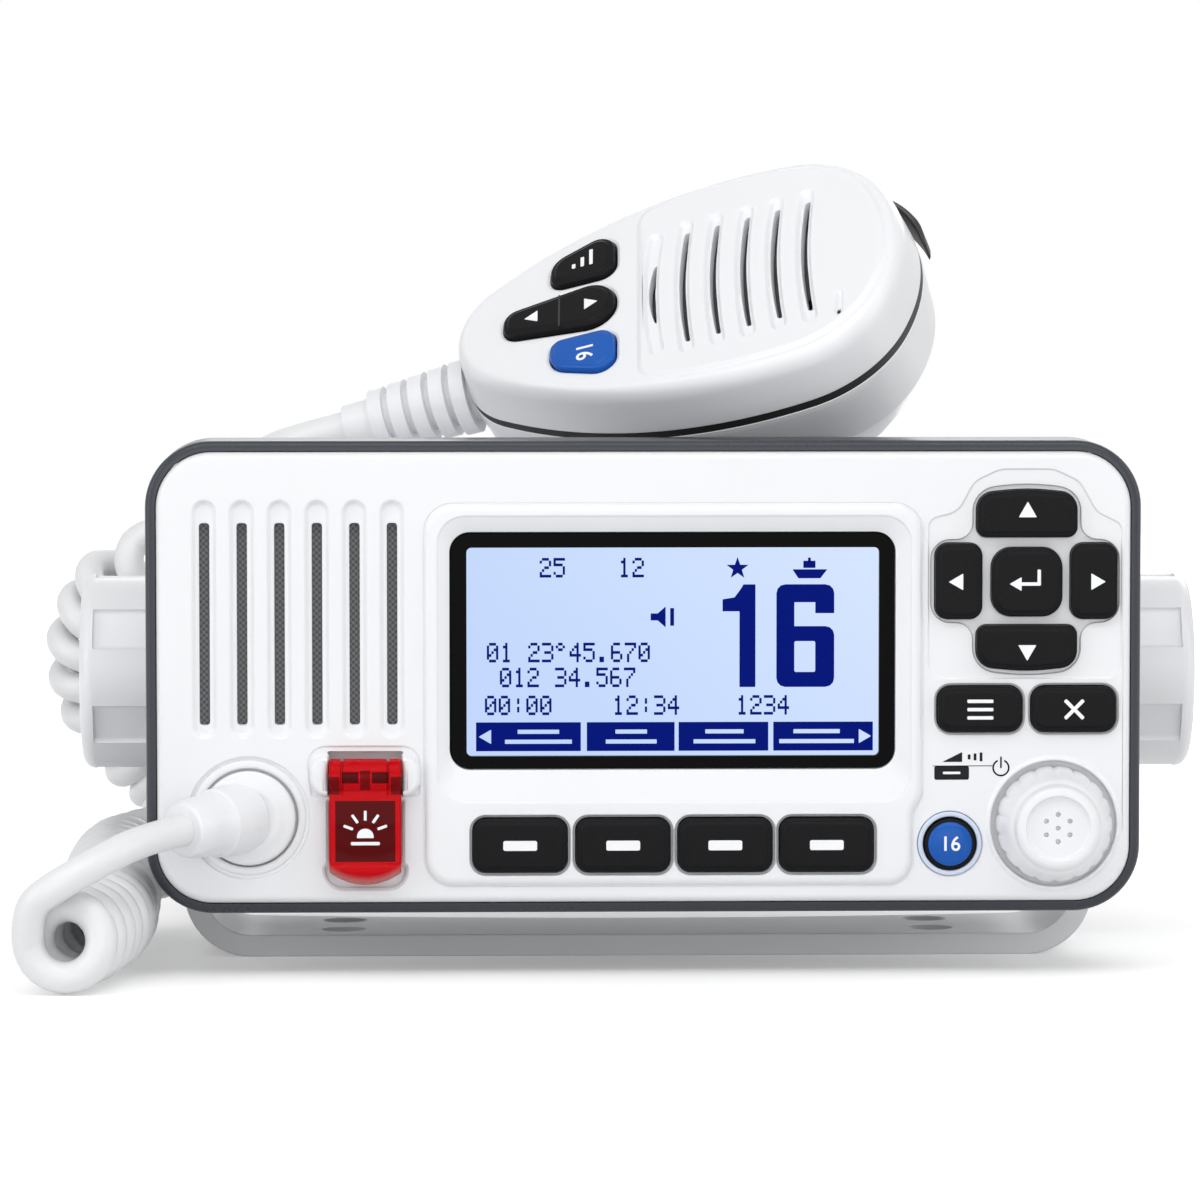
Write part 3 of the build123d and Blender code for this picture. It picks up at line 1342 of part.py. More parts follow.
rocker_room = 0.8           # for the flange to tilt under the shell
rocker_flange = mic_front_depth - mic_wall - rocker_room
with BuildPart() as mic_rocker:
    with BuildSketch(mic.offset(mic_front_depth + mic_key_proud)):
        mic_keys(0, ("rocker",))
    extrude(amount=-(mic_key_proud + mic_wall + rocker_room + key_flange_thickness))
    chamfer(mic_rocker.faces().sort_by(Axis(mic_origin, mic_normal))[-1].edges(), key_chamfer)
    # valley between the two halves
    with BuildSketch(mic.offset(mic_front_depth + mic_key_proud)):
        with Locations((-21.0, 0)):
            Rectangle(0.7, 20.0)
    extrude(amount=-0.5, mode=Mode.SUBTRACT)
    with BuildSketch(mic.offset(rocker_flange)):
        mic_keys(0.45, ("rocker",))
    extrude(amount=-key_flange_thickness)
    with BuildSketch(mic.offset(rocker_flange)):
        with Locations((-27.0, 0), (-15.0, 0)):
            Circle(1.4)
    extrude(amount=-(rocker_flange - mic_board_top - 0.9))
save(mic_rocker, "mic_rocker")

# push-to-talk lever: drawn where it bottoms, then swung out about its pivot
swing = (
    mic.location
    * Location((*lever_pivot, 0))
    * Location((0, 0, 0), (0, 0, lever_swing))
    * Location((-lever_pivot[0], -lever_pivot[1], 0))
)
lever_plane = Plane(swing)
with BuildPart() as talk_lever:
    with BuildSketch(lever_plane.offset(-lever_width * 0.6)):
        mic_outline(-gap - lever_thickness)
    extrude(amount=lever_width)
    with BuildSketch(lever_plane.offset(-lever_width * 0.6)):
        mic_outline(-gap)
    extrude(amount=lever_width, mode=Mode.SUBTRACT)
    with BuildSketch(lever_plane.offset(-lever_width * 0.6)):
        with BuildLine():
            Polyline((lever_pivot[0], 10), (lever_pivot[0], 50), (60, 50), (60, 9), (40, 9), close=True)
        make_face()
    extrude(amount=lever_width, mode=Mode.INTERSECT)
save(talk_lever, "talk_lever")

# ribbed boot on the microphone's cord
boot_tip = wire / 2 + 1.0
boot_slope = (boot_radius - boot_tip) / (boot_length + boot_seat - snug)
rib_first = 0.3
boot_outline = [(boot_radius, boot_seat - snug)]
for i in range(rib_count):
    start = rib_first + i * rib_pitch
    for reach in (start, start + rib_width):
        core = boot_radius - boot_slope * (reach + boot_seat - snug)
        corners = [(core, -reach), (rib_radius - rib_fall * i, -reach)]
        boot_outline += corners if reach == start else corners[::-1]
boot_profile = Plane(origin=boot_axis.origin, x_dir=mic_normal, z_dir=mic_normal.cross(mic_long))
with BuildPart() as mic_boot:
    with BuildSketch(boot_profile):
        with BuildLine():
            Polyline(
                (0, boot_neck),
                (boot_neck_radius, boot_neck),
                (boot_neck_radius, boot_seat - snug),
                *boot_outline,
                (boot_tip, -boot_length),
                (wire / 2, -boot_length),
                (wire / 2, cord_grip - boot_length),
                (0, cord_grip - boot_length),
                close=True,
            )
        make_face()
    revolve(axis=Axis(boot_axis.origin, mic_long))
save(mic_boot, "mic_boot")

# ---------------------------------------------------------------- cords
cord_exit = boot_plane.offset(plug_boot - cord_grip).origin
tail_exit = boot_axis.offset(boot_length - cord_grip).origin
curl_route = [
    (-83.5, 30.0, 81.0),
    (-96.0, 38.0, 70.5),
    (-105.3, 43.5, 57.0),
    (-103.5, 47.0, 43.5),
    (-96.0, 49.5, 34.0),
    (-88.0, 49.5, 27.0),
    (-84.3, 44.5, 19.5),
    (-86.0, 37.0, 15.6),
    (-91.0, 28.0, 14.4),
    (-96.8, 14.5, 14.4),
    (-98.4, -4.0, 13.6),
    (-97.4, -27.0, 11.6),
    (-97.2, -54.0, 9.8),
    (-103.5, -80.0, 9.4),
]
tail_route = [
    tuple(tail_exit),
    tuple(tail_exit - mic_long * 12.5),
    (-71.0, 15.5, 92.4),
    (-77.3, 26.0, 86.2),
    curl_route[0],
]
leader_route = [
    tuple(cord_exit),
    tuple(cord_exit + boot_dir * 12.5),
    (-97.5, -80.0, 24.0),
    (-101.2, -85.0, 21.6),
    (-105.6, -86.9, 17.1),
    (-109.1, -84.2, 12.2),
    (-109.8, -78.4, 9.4),
]


def arc_radii(route):
    """Radius at each corner: 0.45 of the shorter run over the tangent of half the turn."""
    radii = []
    for before, here, after in zip(route, route[1:], route[2:]):
        run_in = Vector(*here) - Vector(*before)
        run_out = Vector(*after) - Vector(*here)
        half_turn = radians(run_in.get_angle(run_out)) / 2
        radii.append(0.45 * min(run_in.length, run_out.length) * cos(half_turn) / sin(half_turn))
    return radii


for label, route, diameter in (
    ("cord_leader", leader_route, wire),
    ("cord_curl", curl_route, curl),
    ("cord_tail", tail_route, wire),
):
    radii = arc_radii(route)
    with BuildPart() as cord:
        with BuildLine() as line:
            FilletPolyline(*route, radius=radii)
        with BuildSketch(Plane(origin=line.line @ 0, z_dir=line.line % 0)):
            Circle(diameter / 2)
        sweep()
    run = sum(edge.length for edge in line.edges())
    filled = cord.part.volume / (run * pi * diameter**2 / 4)
    print(label, "radii", [round(r, 1) for r in radii], "length", round(run, 1), "filled", round(filled, 4))
    save(cord, label)
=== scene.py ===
import bmesh
import bpy
from math import asin, atan2, cos, pi, radians, sin
from mathutils import Matrix, Vector


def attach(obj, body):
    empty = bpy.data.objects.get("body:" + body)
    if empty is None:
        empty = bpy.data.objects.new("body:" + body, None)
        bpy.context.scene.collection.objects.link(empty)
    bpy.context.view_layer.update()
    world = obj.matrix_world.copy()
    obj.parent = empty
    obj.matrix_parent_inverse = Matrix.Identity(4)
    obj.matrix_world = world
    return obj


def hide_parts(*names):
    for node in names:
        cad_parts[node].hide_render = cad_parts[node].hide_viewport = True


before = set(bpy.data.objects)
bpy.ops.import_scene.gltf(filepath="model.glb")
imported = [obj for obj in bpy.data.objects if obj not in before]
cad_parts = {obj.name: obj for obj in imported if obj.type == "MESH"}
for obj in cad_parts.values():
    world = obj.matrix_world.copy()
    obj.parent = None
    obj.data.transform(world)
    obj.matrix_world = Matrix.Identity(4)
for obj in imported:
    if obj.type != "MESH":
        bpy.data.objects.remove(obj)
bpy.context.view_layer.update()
mm = 0.001


class Place:
    # a flat datum with its own x, y and height off the surface, all in millimetres
    def __init__(self, origin, ex, ey):
        self.origin, self.ex, self.ey = Vector(origin), Vector(ex).normalized(), Vector(ey).normalized()
        self.out = self.ex.cross(self.ey)

    def __call__(self, x, y, height=0.0):
        return (self.origin + self.ex * x + self.ey * y + self.out * height) * mm


front = Place((0, -52.0, 54.2), (1, 0, 0), (0, 0, 1))      # the radio's face; height is towards the user
micPose = {"origin": (9.9, -9.6, 115.05), "yaw": 14.0, "rise": 14.0, "lean": 48.0}
yaw, rise, lean = (radians(micPose[k]) for k in ("yaw", "rise", "lean"))
micLong = Vector((cos(rise) * cos(yaw), -cos(rise) * sin(yaw), sin(rise)))
level = Vector((-sin(yaw), -cos(yaw), 0))
micNormal = level * cos(lean) + level.cross(micLong) * sin(lean)
mic = Place(micPose["origin"], micLong, micNormal.cross(micLong))     # seam plane of the hand microphone


# an outline is a function of an inset and gives the same number of points every time
def roundedPoly(corners, steps=8):
    count = len(corners)

    def outline(inset=0.0):
        points = []
        for i in range(count):
            (ax, ay, _), (bx, by, r), (cx, cy, _) = corners[i - 1], corners[i], corners[(i + 1) % count]
            u, v = Vector((bx - ax, by - ay)).normalized(), Vector((cx - bx, cy - by)).normalized()
            turn = atan2(u.x * v.y - u.y * v.x, u.dot(v))
            nu, nv = Vector((-u.y, u.x)), Vector((-v.y, v.x))
            miter = (nu + nv) / (1 + nu.dot(nv))
            corner = Vector((bx, by)) + miter * inset
            radius = max(r - inset if turn > 0 else r + inset, 0.02)
            centre = corner + miter * (radius if turn > 0 else -radius)
            start = atan2(-nu.y, -nu.x) if turn > 0 else atan2(nu.y, nu.x)
            for k in range(steps + 1):
                a = start + turn * k / steps
                points.append((centre.x + radius * cos(a), centre.y + radius * sin(a)))
        return points
    return outline


def roundedRect(cx, cy, width, height, radius, steps=8):
    w, h = width / 2, height / 2
    return roundedPoly([(cx + w, cy - h, radius), (cx + w, cy + h, radius),
                        (cx - w, cy + h, radius), (cx - w, cy - h, radius)], steps)


def circle(cx, cy, radius, count=64):
    return lambda inset=0.0: [(cx + (radius - inset) * cos(2 * pi * k / count),
                               cy + (radius - inset) * sin(2 * pi * k / count)) for k in range(count)]


def stroke(x1, y1, x2, y2, width):
    d = Vector((x2 - x1, y2 - y1)).normalized() * width / 2
    n = Vector((-d.y, d.x))
    a, b = Vector((x1, y1)) - d, Vector((x2, y2)) + d
    return roundedPoly([(*corner, width * 0.3) for corner in (a - n, b - n, b + n, a + n)], 3)


def triangle(x, y, size, turn):
    angles = [radians(turn + 120 * k) for k in range(3)]
    return roundedPoly([(x + size * cos(a), y + size * sin(a), size * 0.05) for a in angles], 3)


def profile(parts):
    # parts are points (inset, height) and curves (kind, inset, height, steps) from the point before:
    # "ease" is a soft S, "flat" and "steep" are quarter ellipses named by how they start
    points = []
    for part in parts:
        if len(part) == 2:
            points.append(part)
            continue
        kind, inset, height, steps = part
        x, y = points[-1]
        for k in range(1, steps + 1):
            t = pi / 2 * k / steps
            across, up = {"ease": (k / steps, (1 - cos(2 * t)) / 2), "flat": (sin(t), 1 - cos(t)),
                          "steep": (1 - cos(t), sin(t))}[kind]
            points.append((x + (inset - x) * across, y + (height - y) * up))
    return points


class Form:
    # one mesh in the making
    def __init__(self, place):
        self.bm, self.place, self.slot, self.backs = bmesh.new(), place, 0, []

    def ring(self, points, height):
        return [self.bm.verts.new(self.place(x, y, height)) for x, y in points]

    def rings(self, outline, *parts):
        return [self.ring(outline(inset), height) for inset, height in profile(parts)]

    def face(self, verts):
        self.bm.faces.new(verts).material_index = self.slot

    def bridge(self, *rings):
        for a, b in zip(rings, rings[1:]):
            for i in range(len(a)):
                j = (i + 1) % len(a)
                self.face((a[i], a[j], b[j], b[i]))

    def loft(self, rings):
        # closed solid through open rings of points
        self.bridge(*rings)
        self.face(rings[0][::-1])
        self.face(rings[-1])
        bmesh.ops.recalc_face_normals(self.bm, faces=self.bm.faces)

    def mould(self, outline, *parts):
        # a wall that follows the outline along a profile; gives its first and last ring
        made = self.rings(outline, *parts)
        self.bridge(*made)
        return made[0], made[-1]

    def through(self, outline, *parts):
        # an opening that starts on the face and ends in the back
        first, last = self.mould(outline, *parts)
        self.backs.append(last)
        return first

    def fill(self, rings, inward=False):
        edges = []
        for ring in rings:
            for i, vert in enumerate(ring):
                other = ring[(i + 1) % len(ring)]
                edges.append(self.bm.edges.get((vert, other)) or self.bm.edges.new((vert, other)))
        made = bmesh.ops.triangle_fill(self.bm, use_beauty=True, use_dissolve=False, edges=edges)
        wanted = -self.place.out if inward else self.place.out
        for item in made["geom"]:
            if isinstance(item, bmesh.types.BMFace):
                item.material_index = self.slot
                item.normal_update()
                if item.normal.dot(wanted) < 0:
                    item.normal_flip()

    def plug(self, outline, *parts):
        # closed solid: wall, cap and back face
        first, last = self.mould(outline, *parts)
        self.fill([last])
        self.fill([first], inward=True)

    def printed(self, outline, height, thickness=0.03):
        self.plug(outline, (0.0, height - 0.02), (0.0, height + thickness))

    def lettered(self, text, x, y, size, height, turn=0.0, thickness=0.03):
        # plain digits from the built-in font
        curve = bpy.data.curves.new("digits", "FONT")
        curve.body, curve.size, curve.align_x, curve.align_y = text, size, "CENTER", "CENTER"
        curve.extrude, curve.offset = thickness, 0.012 * size
        mesh = finalMesh(bpy.data.objects.new("digits", curve))
        c, s = cos(radians(turn)), sin(radians(turn))
        verts = [self.bm.verts.new(self.place(x + v.co.x * c - v.co.y * s, y + v.co.x * s + v.co.y * c,
                                              height + v.co.z)) for v in mesh.vertices]
        for polygon in mesh.polygons:
            self.face([verts[i] for i in polygon.vertices])

    def finish(self, name, materials, body, node=None, slot=None, crease=38.0, smooth=True):
        bmesh.ops.remove_doubles(self.bm, verts=self.bm.verts, dist=1e-7)
        mesh = bpy.data.meshes.new(name)
        self.bm.to_mesh(mesh)
        self.bm.free()
        for material in materials:
            mesh.materials.append(material)
        return dress(name, mesh, body, node, slot, crease, smooth)


def dress(name, mesh, body, node=None, slot=None, crease=38.0, smooth=True):
    thing = bpy.data.objects.new(name, mesh)
    bpy.context.collection.objects.link(thing)
    if smooth:
        mesh.shade_smooth()
        mesh.set_sharp_from_angle(angle=radians(crease))
    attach(thing, body)
    if node:
        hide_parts(*([node] if isinstance(node, str) else node))
    return thing


def finalMesh(thing):
    # the plain mesh that an object gives; the object itself goes
    bpy.context.collection.objects.link(thing)
    bpy.context.view_layer.update()
    mesh = bpy.data.meshes.new_from_object(thing.evaluated_get(bpy.context.evaluated_depsgraph_get()))
    bpy.data.objects.remove(thing)
    return mesh


class Socket:
    # a shader value that can be calculated with
    def __init__(self, shade, link):
        self.shade, self.link = shade, link

    def work(self, operation, a, b=None, clamp=False):
        values = {0: a} if b is None else {0: a, 1: b}
        return self.shade.node("Math", {"operation": operation, "use_clamp": clamp}, values)

    def __add__(self, other): return self.work("ADD", self, other)
    def __radd__(self, other): return self.work("ADD", other, self)
    def __sub__(self, other): return self.work("SUBTRACT", self, other)
    def __rsub__(self, other): return self.work("SUBTRACT", other, self)
    def __mul__(self, other): return self.work("MULTIPLY", self, other)
    def __rmul__(self, other): return self.work("MULTIPLY", other, self)
    def __gt__(self, other): return self.work("GREATER_THAN", self, other)
    def __lt__(self, other): return self.work("LESS_THAN", self, other)
    def abs(self): return self.work("ABSOLUTE", self)
    def sine(self): return self.work("SINE", self)
    def clamped(self): return self.work("ADD", self, 0.0, clamp=True)


class Shade:
    # one material; its surface is a Principled shader
    def __init__(self, name):
        self.material = bpy.data.materials.new(name)
        self.material.use_nodes = True
        self.tree = self.material.node_tree
        self.surface = self.tree.nodes["Principled BSDF"]

    def node(self, kind, settings=None, values=None, output=0):
        made = self.tree.nodes.new("ShaderNode" + kind)
        for key, value in (settings or {}).items():
            if key == "stops":
                ramp = made.color_ramp.elements
                while len(ramp) < len(value):
                    ramp.new(0.5)
                for element, (position, colour) in zip(ramp, value):
                    element.position, element.color = position, (*colour, 1)
            else:
                setattr(made, key, value)
        for key, value in (values or {}).items():
            if isinstance(value, Socket):
                self.tree.links.new(value.link, made.inputs[key])
            else:
                made.inputs[key].default_value = value
        return Socket(self, made.outputs[output])

    def set(self, **values):
        for key, value in values.items():
            socket = self.surface.inputs[key.replace("_", " ")]
            if isinstance(value, Socket):
                self.tree.links.new(value.link, socket)
            else:
                socket.default_value = (*value, 1) if isinstance(value, tuple) else value
        return self.material

    def place(self):
        return self.node("TexCoord", output=3)          # Object coordinates

    def xz(self):
        return [self.node("SeparateXYZ", {}, {0: self.place()}, output=i) for i in (0, 2)]

    def noise(self, scale, detail=3.0, rough=0.5):
        return self.node("TexNoise", {}, {"Vector": self.place(), "Scale": scale, "Detail": detail,
                                          "Roughness": rough})

    def blend(self, factor, a, b):
        full = lambda c: (*c, 1) if isinstance(c, tuple) else c
        return self.node("Mix", {"data_type": "RGBA"}, {0: factor, 6: full(a), 7: full(b)}, output=2)

    def bump(self, height, strength, distance, normal=None):
        values = {"Height": height, "Strength": strength, "Distance": distance}
        if normal:
            values["Normal"] = normal
        return self.node("Bump", {}, values)

    def rounded(self, radius):
        return self.node("Bevel", {"samples": 6}, {"Radius": radius})


def moulded(name, colour, roughness, grain, grainScale=2600.0, mottle=0.04, coat=0.0, edge=0.0, gloss=0.5):
    # injection-moulded plastic: fine spark grain, slight shift of tone and gloss
    shade = Shade(name)
    tone = shade.noise(18.0, 2.0)
    fine = shade.noise(grainScale, 2.0, 0.6)
    darker = tuple(c * (1 - mottle) for c in colour)
    lighter = tuple(min(c * (1 + mottle), 1.0) for c in colour)
    height = shade.bump(fine, grain, 0.00004, shade.rounded(edge) if edge else None)
    return shade.set(Base_Color=shade.blend(tone, darker, lighter),
                     Roughness=(roughness - 0.04 + fine * 0.06 + tone * 0.03).clamped(),
                     Normal=height, Coat_Weight=coat, Coat_Roughness=0.12, Specular_IOR_Level=gloss)


def wovenCloth(name, thread, dark, light):
    # plain weave seen straight on, from the piece's own x and z
    shade = Shade(name)
    x, z = shade.xz()
    weave = (x * (2 * pi / thread)).sine() * (z * (2 * pi / thread)).sine() * 0.5 + 0.5
    return shade.set(Base_Color=shade.blend(weave, dark, light), Roughness=0.8,
                     Normal=shade.bump(weave, 0.4, 0.0001), Specular_IOR_Level=0.2)


palette = {
    "white": (0.80, 0.81, 0.83), "cord": (0.78, 0.79, 0.80), "legend": (0.86, 0.87, 0.88),
    "black": (0.008, 0.008, 0.009), "rubber": (0.012, 0.012, 0.012), "print": (0.015, 0.015, 0.018),
    "dark": (0.02, 0.02, 0.022), "slate": (0.030, 0.035, 0.045), "board": (0.01, 0.09, 0.03),
    # the flap's darker red below is painted shade
    "blue": (0.004, 0.090, 0.42), "red": (0.46, 0.001, 0.004), "shadeRed": (0.085, 0.0005, 0.001),
}
whitePlastic = moulded("whitePlastic", palette["white"], 0.30, 0.10, coat=0.1)
paintedAlloy = moulded("paintedAlloy", palette["white"], 0.38, 0.25, 900.0, edge=0.0006)
blackKey = moulded("blackKey", palette["black"], 0.28, 0.12, 2200.0, gloss=0.07)
slateBand = moulded("slateBand", palette["slate"], 0.28, 0.10, gloss=0.35)
blackRubber = moulded("blackRubber", palette["rubber"], 0.55, 0.3, 1500.0)
keyLegend = moulded("keyLegend", palette["legend"], 0.45, 0.0)
panelPrint = moulded("panelPrint", palette["print"], 0.40, 0.0, gloss=0.08)
blueKey = moulded("blueKey", palette["blue"], 0.24, 0.08, gloss=0.22)
cordSkin = moulded("cordSkin", palette["cord"], 0.34, 0.12, 1600.0, coat=0.15)
printedBoard = moulded("printedBoard", palette["board"], 0.35, 0.2, 600.0, mottle=0.3)
darkPart = moulded("darkPart", palette["dark"], 0.5, 0.2, 900.0, edge=0.0003)
speakerCloth = wovenCloth("speakerCloth", 0.0011, (0.075, 0.075, 0.078), (0.20, 0.20, 0.205))
print("materials ready")

faceParts = {
    "size": (176.0, 81.5, 10.0), "depth": -17.0, "wall": -2.6, "skin": 1.5, "shoulder": 1.3,
    "screen": roundedPoly([(48.5, -37.6, 4.6), (48.5, -24.6, 2.5), (50.2, -21.6, 3.0), (50.2, 31.4, 5.2),
                           (-39.7, 31.4, 5.2), (-39.7, -37.6, 5.2)], 10), "rise": 1.0, "ramp": 1.5,
    "bezel": (5.4, 3.4, 85.6, 51.8, 5.0), "lens": (5.1, 4.85, 80.4, 42.8, 3.6),
    "slots": {"count": 6, "first": -79.3, "pitch": 6.76, "slot": (9.75, 2.1, 36.7, 0.7),
              "groove": (10.65, 4.8, 43.4), "depth": 0.95},
    "padFold": roundedPoly([(51.3, -0.3, 3.0), (86.3, -0.3, 3.0), (86.3, 27.6, 2.0), (81.7, 29.9, 4.0),
                            (78.6, 35.4, 4.0), (74.0, 37.6, 6.0), (64.2, 37.6, 6.0), (59.6, 35.4, 4.0),
                            (56.6, 29.9, 4.0), (51.3, 28.6, 2.0)]),
    "padWell": roundedPoly([(51.7, 9.8, 3.6), (59.3, 9.8, 3.0), (59.3, 1.2, 4.5), (69.1, 0.1, 40.0),
                            (78.9, 1.2, 4.5), (78.9, 9.8, 3.0), (85.9, 9.8, 3.6), (85.9, 24.9, 3.6),
                            (78.9, 24.9, 3.0), (78.9, 33.9, 4.5), (69.1, 35.3, 40.0), (59.3, 33.9, 4.5),
                            (59.3, 24.9, 3.0), (51.7, 24.9, 3.6)]),
    "foldLow": -0.32, "padLow": -0.85,
    "socket": (-71.5, -25.25, 11.0, 8.95), "volume": (74.1, -26.6, 11.4, 8.1), "channel": (55.3, -30.2, 5.8),
    "earShelf": roundedPoly([(-60.2, -21.32, 0.6), (-40.6, -21.32, 0.6), (-40.6, -12.3, 3.0), (-61.2, -12.3, 3.2)]),
    "trough": (-50.4, -17.09, 13.6, 7.78, 0.3, 4), "redKey": (-50.4, -29.6, 9.4, 11.4, 1.2, 6),
    "pocket": roundedPoly([(-57.9, -38.2, 3.4), (-42.9, -38.2, 3.4), (-42.9, -34.2, 0.5), (-43.6, -33.4, 0.4),
                           (-43.6, -22.15, 0.2), (-57.2, -22.15, 0.2), (-57.2, -33.4, 0.4), (-57.9, -34.2, 0.5)], 6),
    "pocketLow": -1.8, "pocketBox": (-50.4, -25.35, 19.2, 26.6, 2.0, 6), "boxTop": -5.2,
}


def archedKey(x, y, width, height, sense):
    # one side bulges: the upper for a sense of 1, the lower for -1
    bulge, corner, shoulder, crown = 0.9, 1.8, 3.2, 38.0
    half, low, tip = width / 2, y - sense * height / 2, y + sense * height / 2
    side = tip - sense * bulge
    corners = [(x - half, low, corner), (x + half, low, corner), (x + half, side, shoulder), (x, tip, crown),
               (x - half, side, shoulder)]
    return roundedPoly(corners if sense > 0 else corners[::-1])


softSpots = [(f"soft_key_{i + 1}", x, -30.25) for i, x in enumerate((-22.5, -3.9, 14.55, 32.9))]
softKeys = {name: roundedRect(x, y, 16.9, 9.7, 2.2) for name, x, y in softSpots}
padKeys = {
    "pad_up_key": archedKey(69.1, 29.7, 18.2, 8.8, 1),
    "pad_down_key": archedKey(69.1, 5.2, 18.2, 8.4, -1),
    "pad_left_key": roundedRect(56.75, 17.35, 8.5, 13.7, 2.3),
    "pad_right_key": roundedRect(81.25, 17.35, 8.5, 13.7, 2.3),
    "pad_centre_key": roundedRect(69.1, 17.2, 12.8, 12.4, 3.6),
}
wideKeys = {
    "menu_key": roundedRect(60.65, -5.8, 15.3, 8.2, 2.4),
    "clear_key": roundedRect(77.65, -5.8, 15.3, 8.2, 2.4),
}


def makeCover():
    form, p = Form(front), faceParts
    wall, deep, skin, shoulder, rise = (p[k] for k in ("wall", "depth", "skin", "shoulder", "rise"))
    outer = roundedRect(0, 0, *p["size"], 14)
    back, edge = form.mould(outer, (0, deep), (0, -shoulder - 0.6), ("steep", shoulder, 0, 8), (shoulder + 0.12, 0))
    inner, floor = form.mould(outer, (skin, deep), (skin, wall))
    form.bridge(inner, back)
    form.backs.append(floor)
    holes = []

    # speaker grooves with a slot in each floor
    slots = p["slots"]
    low = -slots["depth"]
    for i in range(slots["count"]):
        x = slots["first"] + i * slots["pitch"]
        gy, gw, gl = slots["groove"]
        groove = roundedRect(x, gy, gw, gl, gw / 2 - 0.01, 10)
        first, ground = form.mould(groove, (-0.1, 0.0), (0.0, 0.0), ("ease", 1.05, low, 8), (1.12, low))
        slot = roundedRect(x, *slots["slot"], 4)
        rim = form.through(slot, (0.0, low), (0.02, low), ("flat", 0.12, low - 0.15, 3), (0.12, wall))
        form.fill([ground, rim])
        holes.append(first)

    # raised frame round the screen and the soft keys
    ramp = p["ramp"]
    first, top = form.mould(p["screen"], (-0.35, 0.0), (-0.3, 0.0), (-0.22, -0.12), (-0.1, -0.16), (0.02, -0.1),
                            ("steep", ramp, rise, 8), (ramp + 0.12, rise))
    holes.append(first)
    edgeTop, edgeLow = form.mould(roundedRect(*p["bezel"], 10), (-0.3, rise), (-0.27, rise),
                                  ("flat", 0.15, rise - 0.3, 6))
    lensRings = form.rings(roundedRect(*p["lens"], 10), (-0.25, -0.28), (-0.1, -0.42), (-0.1, wall))
    form.bridge(edgeLow, *lensRings)
    form.backs.append(lensRings[-1])
    form.fill([top, edgeTop] + [
        form.through(outline, (-0.8, rise), (-0.78, rise), ("ease", -0.3, rise - 0.75, 7), (-0.22, rise - 0.85),
                     (-0.22, wall)) for outline in softKeys.values()])

    # well round the pad keys, one opening for each key in its floor
    fold, low = p["foldLow"], p["padLow"]
    first, shelf = form.mould(p["padFold"], (-0.2, 0.0), (-0.17, 0.0), ("ease", 0.22, fold, 6), (0.25, fold))
    holes.append(first)
    lip, ground = form.mould(p["padWell"], (-0.1, fold), (-0.08, fold), ("ease", 0.18, low, 6), (0.2, low))
    form.fill([shelf, lip])
    form.fill([ground] + [form.through(outline, (-0.15, low), (-0.12, low - 0.1), (-0.12, wall))
                          for outline in padKeys.values()])
    for outline in wideKeys.values():
        holes.append(form.through(outline, (-0.7, 0.0), (-0.66, 0.0), ("ease", -0.3, -0.35, 5), (-0.2, -0.5),
                                  (-0.2, wall)))

    # microphone socket: shallow ring, then the hole; volume well; channel key's hole
    sx, sy, ringR, holeR = p["socket"]
    step = ringR - holeR
    holes.append(form.through(circle(sx, sy, ringR, 96), (-0.35, 0.0), (-0.3, 0.0), ("flat", 0.0, -0.5, 4),
                              (0.3, -0.62), (0.55, -0.62), ("steep", 1.0, -0.25, 4), (1.45, -0.25), (1.5, -0.25),
                              ("flat", step, -0.7, 4), (step, wall)))
    vx, vy, vr, well = p["volume"]
    holes.append(form.through(circle(vx, vy, vr, 96), (-1.15, 0.0), (-1.1, 0.0), ("ease", -0.35, 0.42, 6),
                              ("flat", 0.0, 0.05, 5), (0.0, -1.0), ("steep", 0.4, -1.3, 4), (well, -1.3), (well, wall)))
    holes.append(form.through(circle(*p["channel"]), (-0.25, 0.0), (-0.22, 0.0), (-0.1, -0.15), (-0.1, wall)))

    # emergency flap: shallow shelf round the ears, deeper trough for the barrel, pocket with the key's opening
    first, shelf = form.mould(p["earShelf"], (-0.25, 0.0), (-0.2, 0.0), ("ease", 0.25, fold, 6), (0.3, fold))
    holes.append(first)
    rim, troughLow = form.mould(roundedRect(*p["trough"]), (-0.02, fold), (0.0, fold - 0.04), (0.0, -3.6))
    form.fill([shelf, rim])
    low, boxTop = p["pocketLow"], p["boxTop"]
    first, ground = form.mould(p["pocket"], (-0.45, 0.0), (-0.4, 0.0), ("ease", 0.1, -0.35, 5), (0.1, -1.4),
                               ("steep", 0.5, low, 4), (0.55, low))
    holes.append(first)
    keyFirst, keyLast = form.mould(roundedRect(*p["redKey"]), (-0.35, low), (-0.3, boxTop))
    form.fill([ground, keyFirst])
    boxFirst = form.through(roundedRect(*p["pocketBox"]), (0.0, boxTop), (0.0, wall))
    form.fill([boxFirst, keyLast], inward=True)
    form.fill([troughLow])

    form.fill([edge] + holes)
    form.fill(form.backs, inward=True)
    form.finish("frontCover", [whitePlastic], "radio", "front_cover", "cover_white", 32.0)


def makeEars():
    # they carry the flap and belong to the cover's moulding
    form = Form(front)
    for sense in (-1, 1):
        near, far, low, high = -50.4 + sense * 6.62, -50.4 + sense * 10.05, -21.25, -13.75
        corners = [(far, low, 3.2), (far, high, 3.2), (near, high, 0.3), (near, low, 0.3)]
        ear = roundedPoly(corners if sense > 0 else corners[::-1], 10)
        form.plug(ear, (-0.1, -0.33), (0.0, -0.2), (0.0, 0.9), ("steep", 1.0, 2.7, 8))
    form.finish("flapEars", [whitePlastic], "radio", None, "cover_white", 50.0)


makeCover()
print("front cover made")
makeEars()

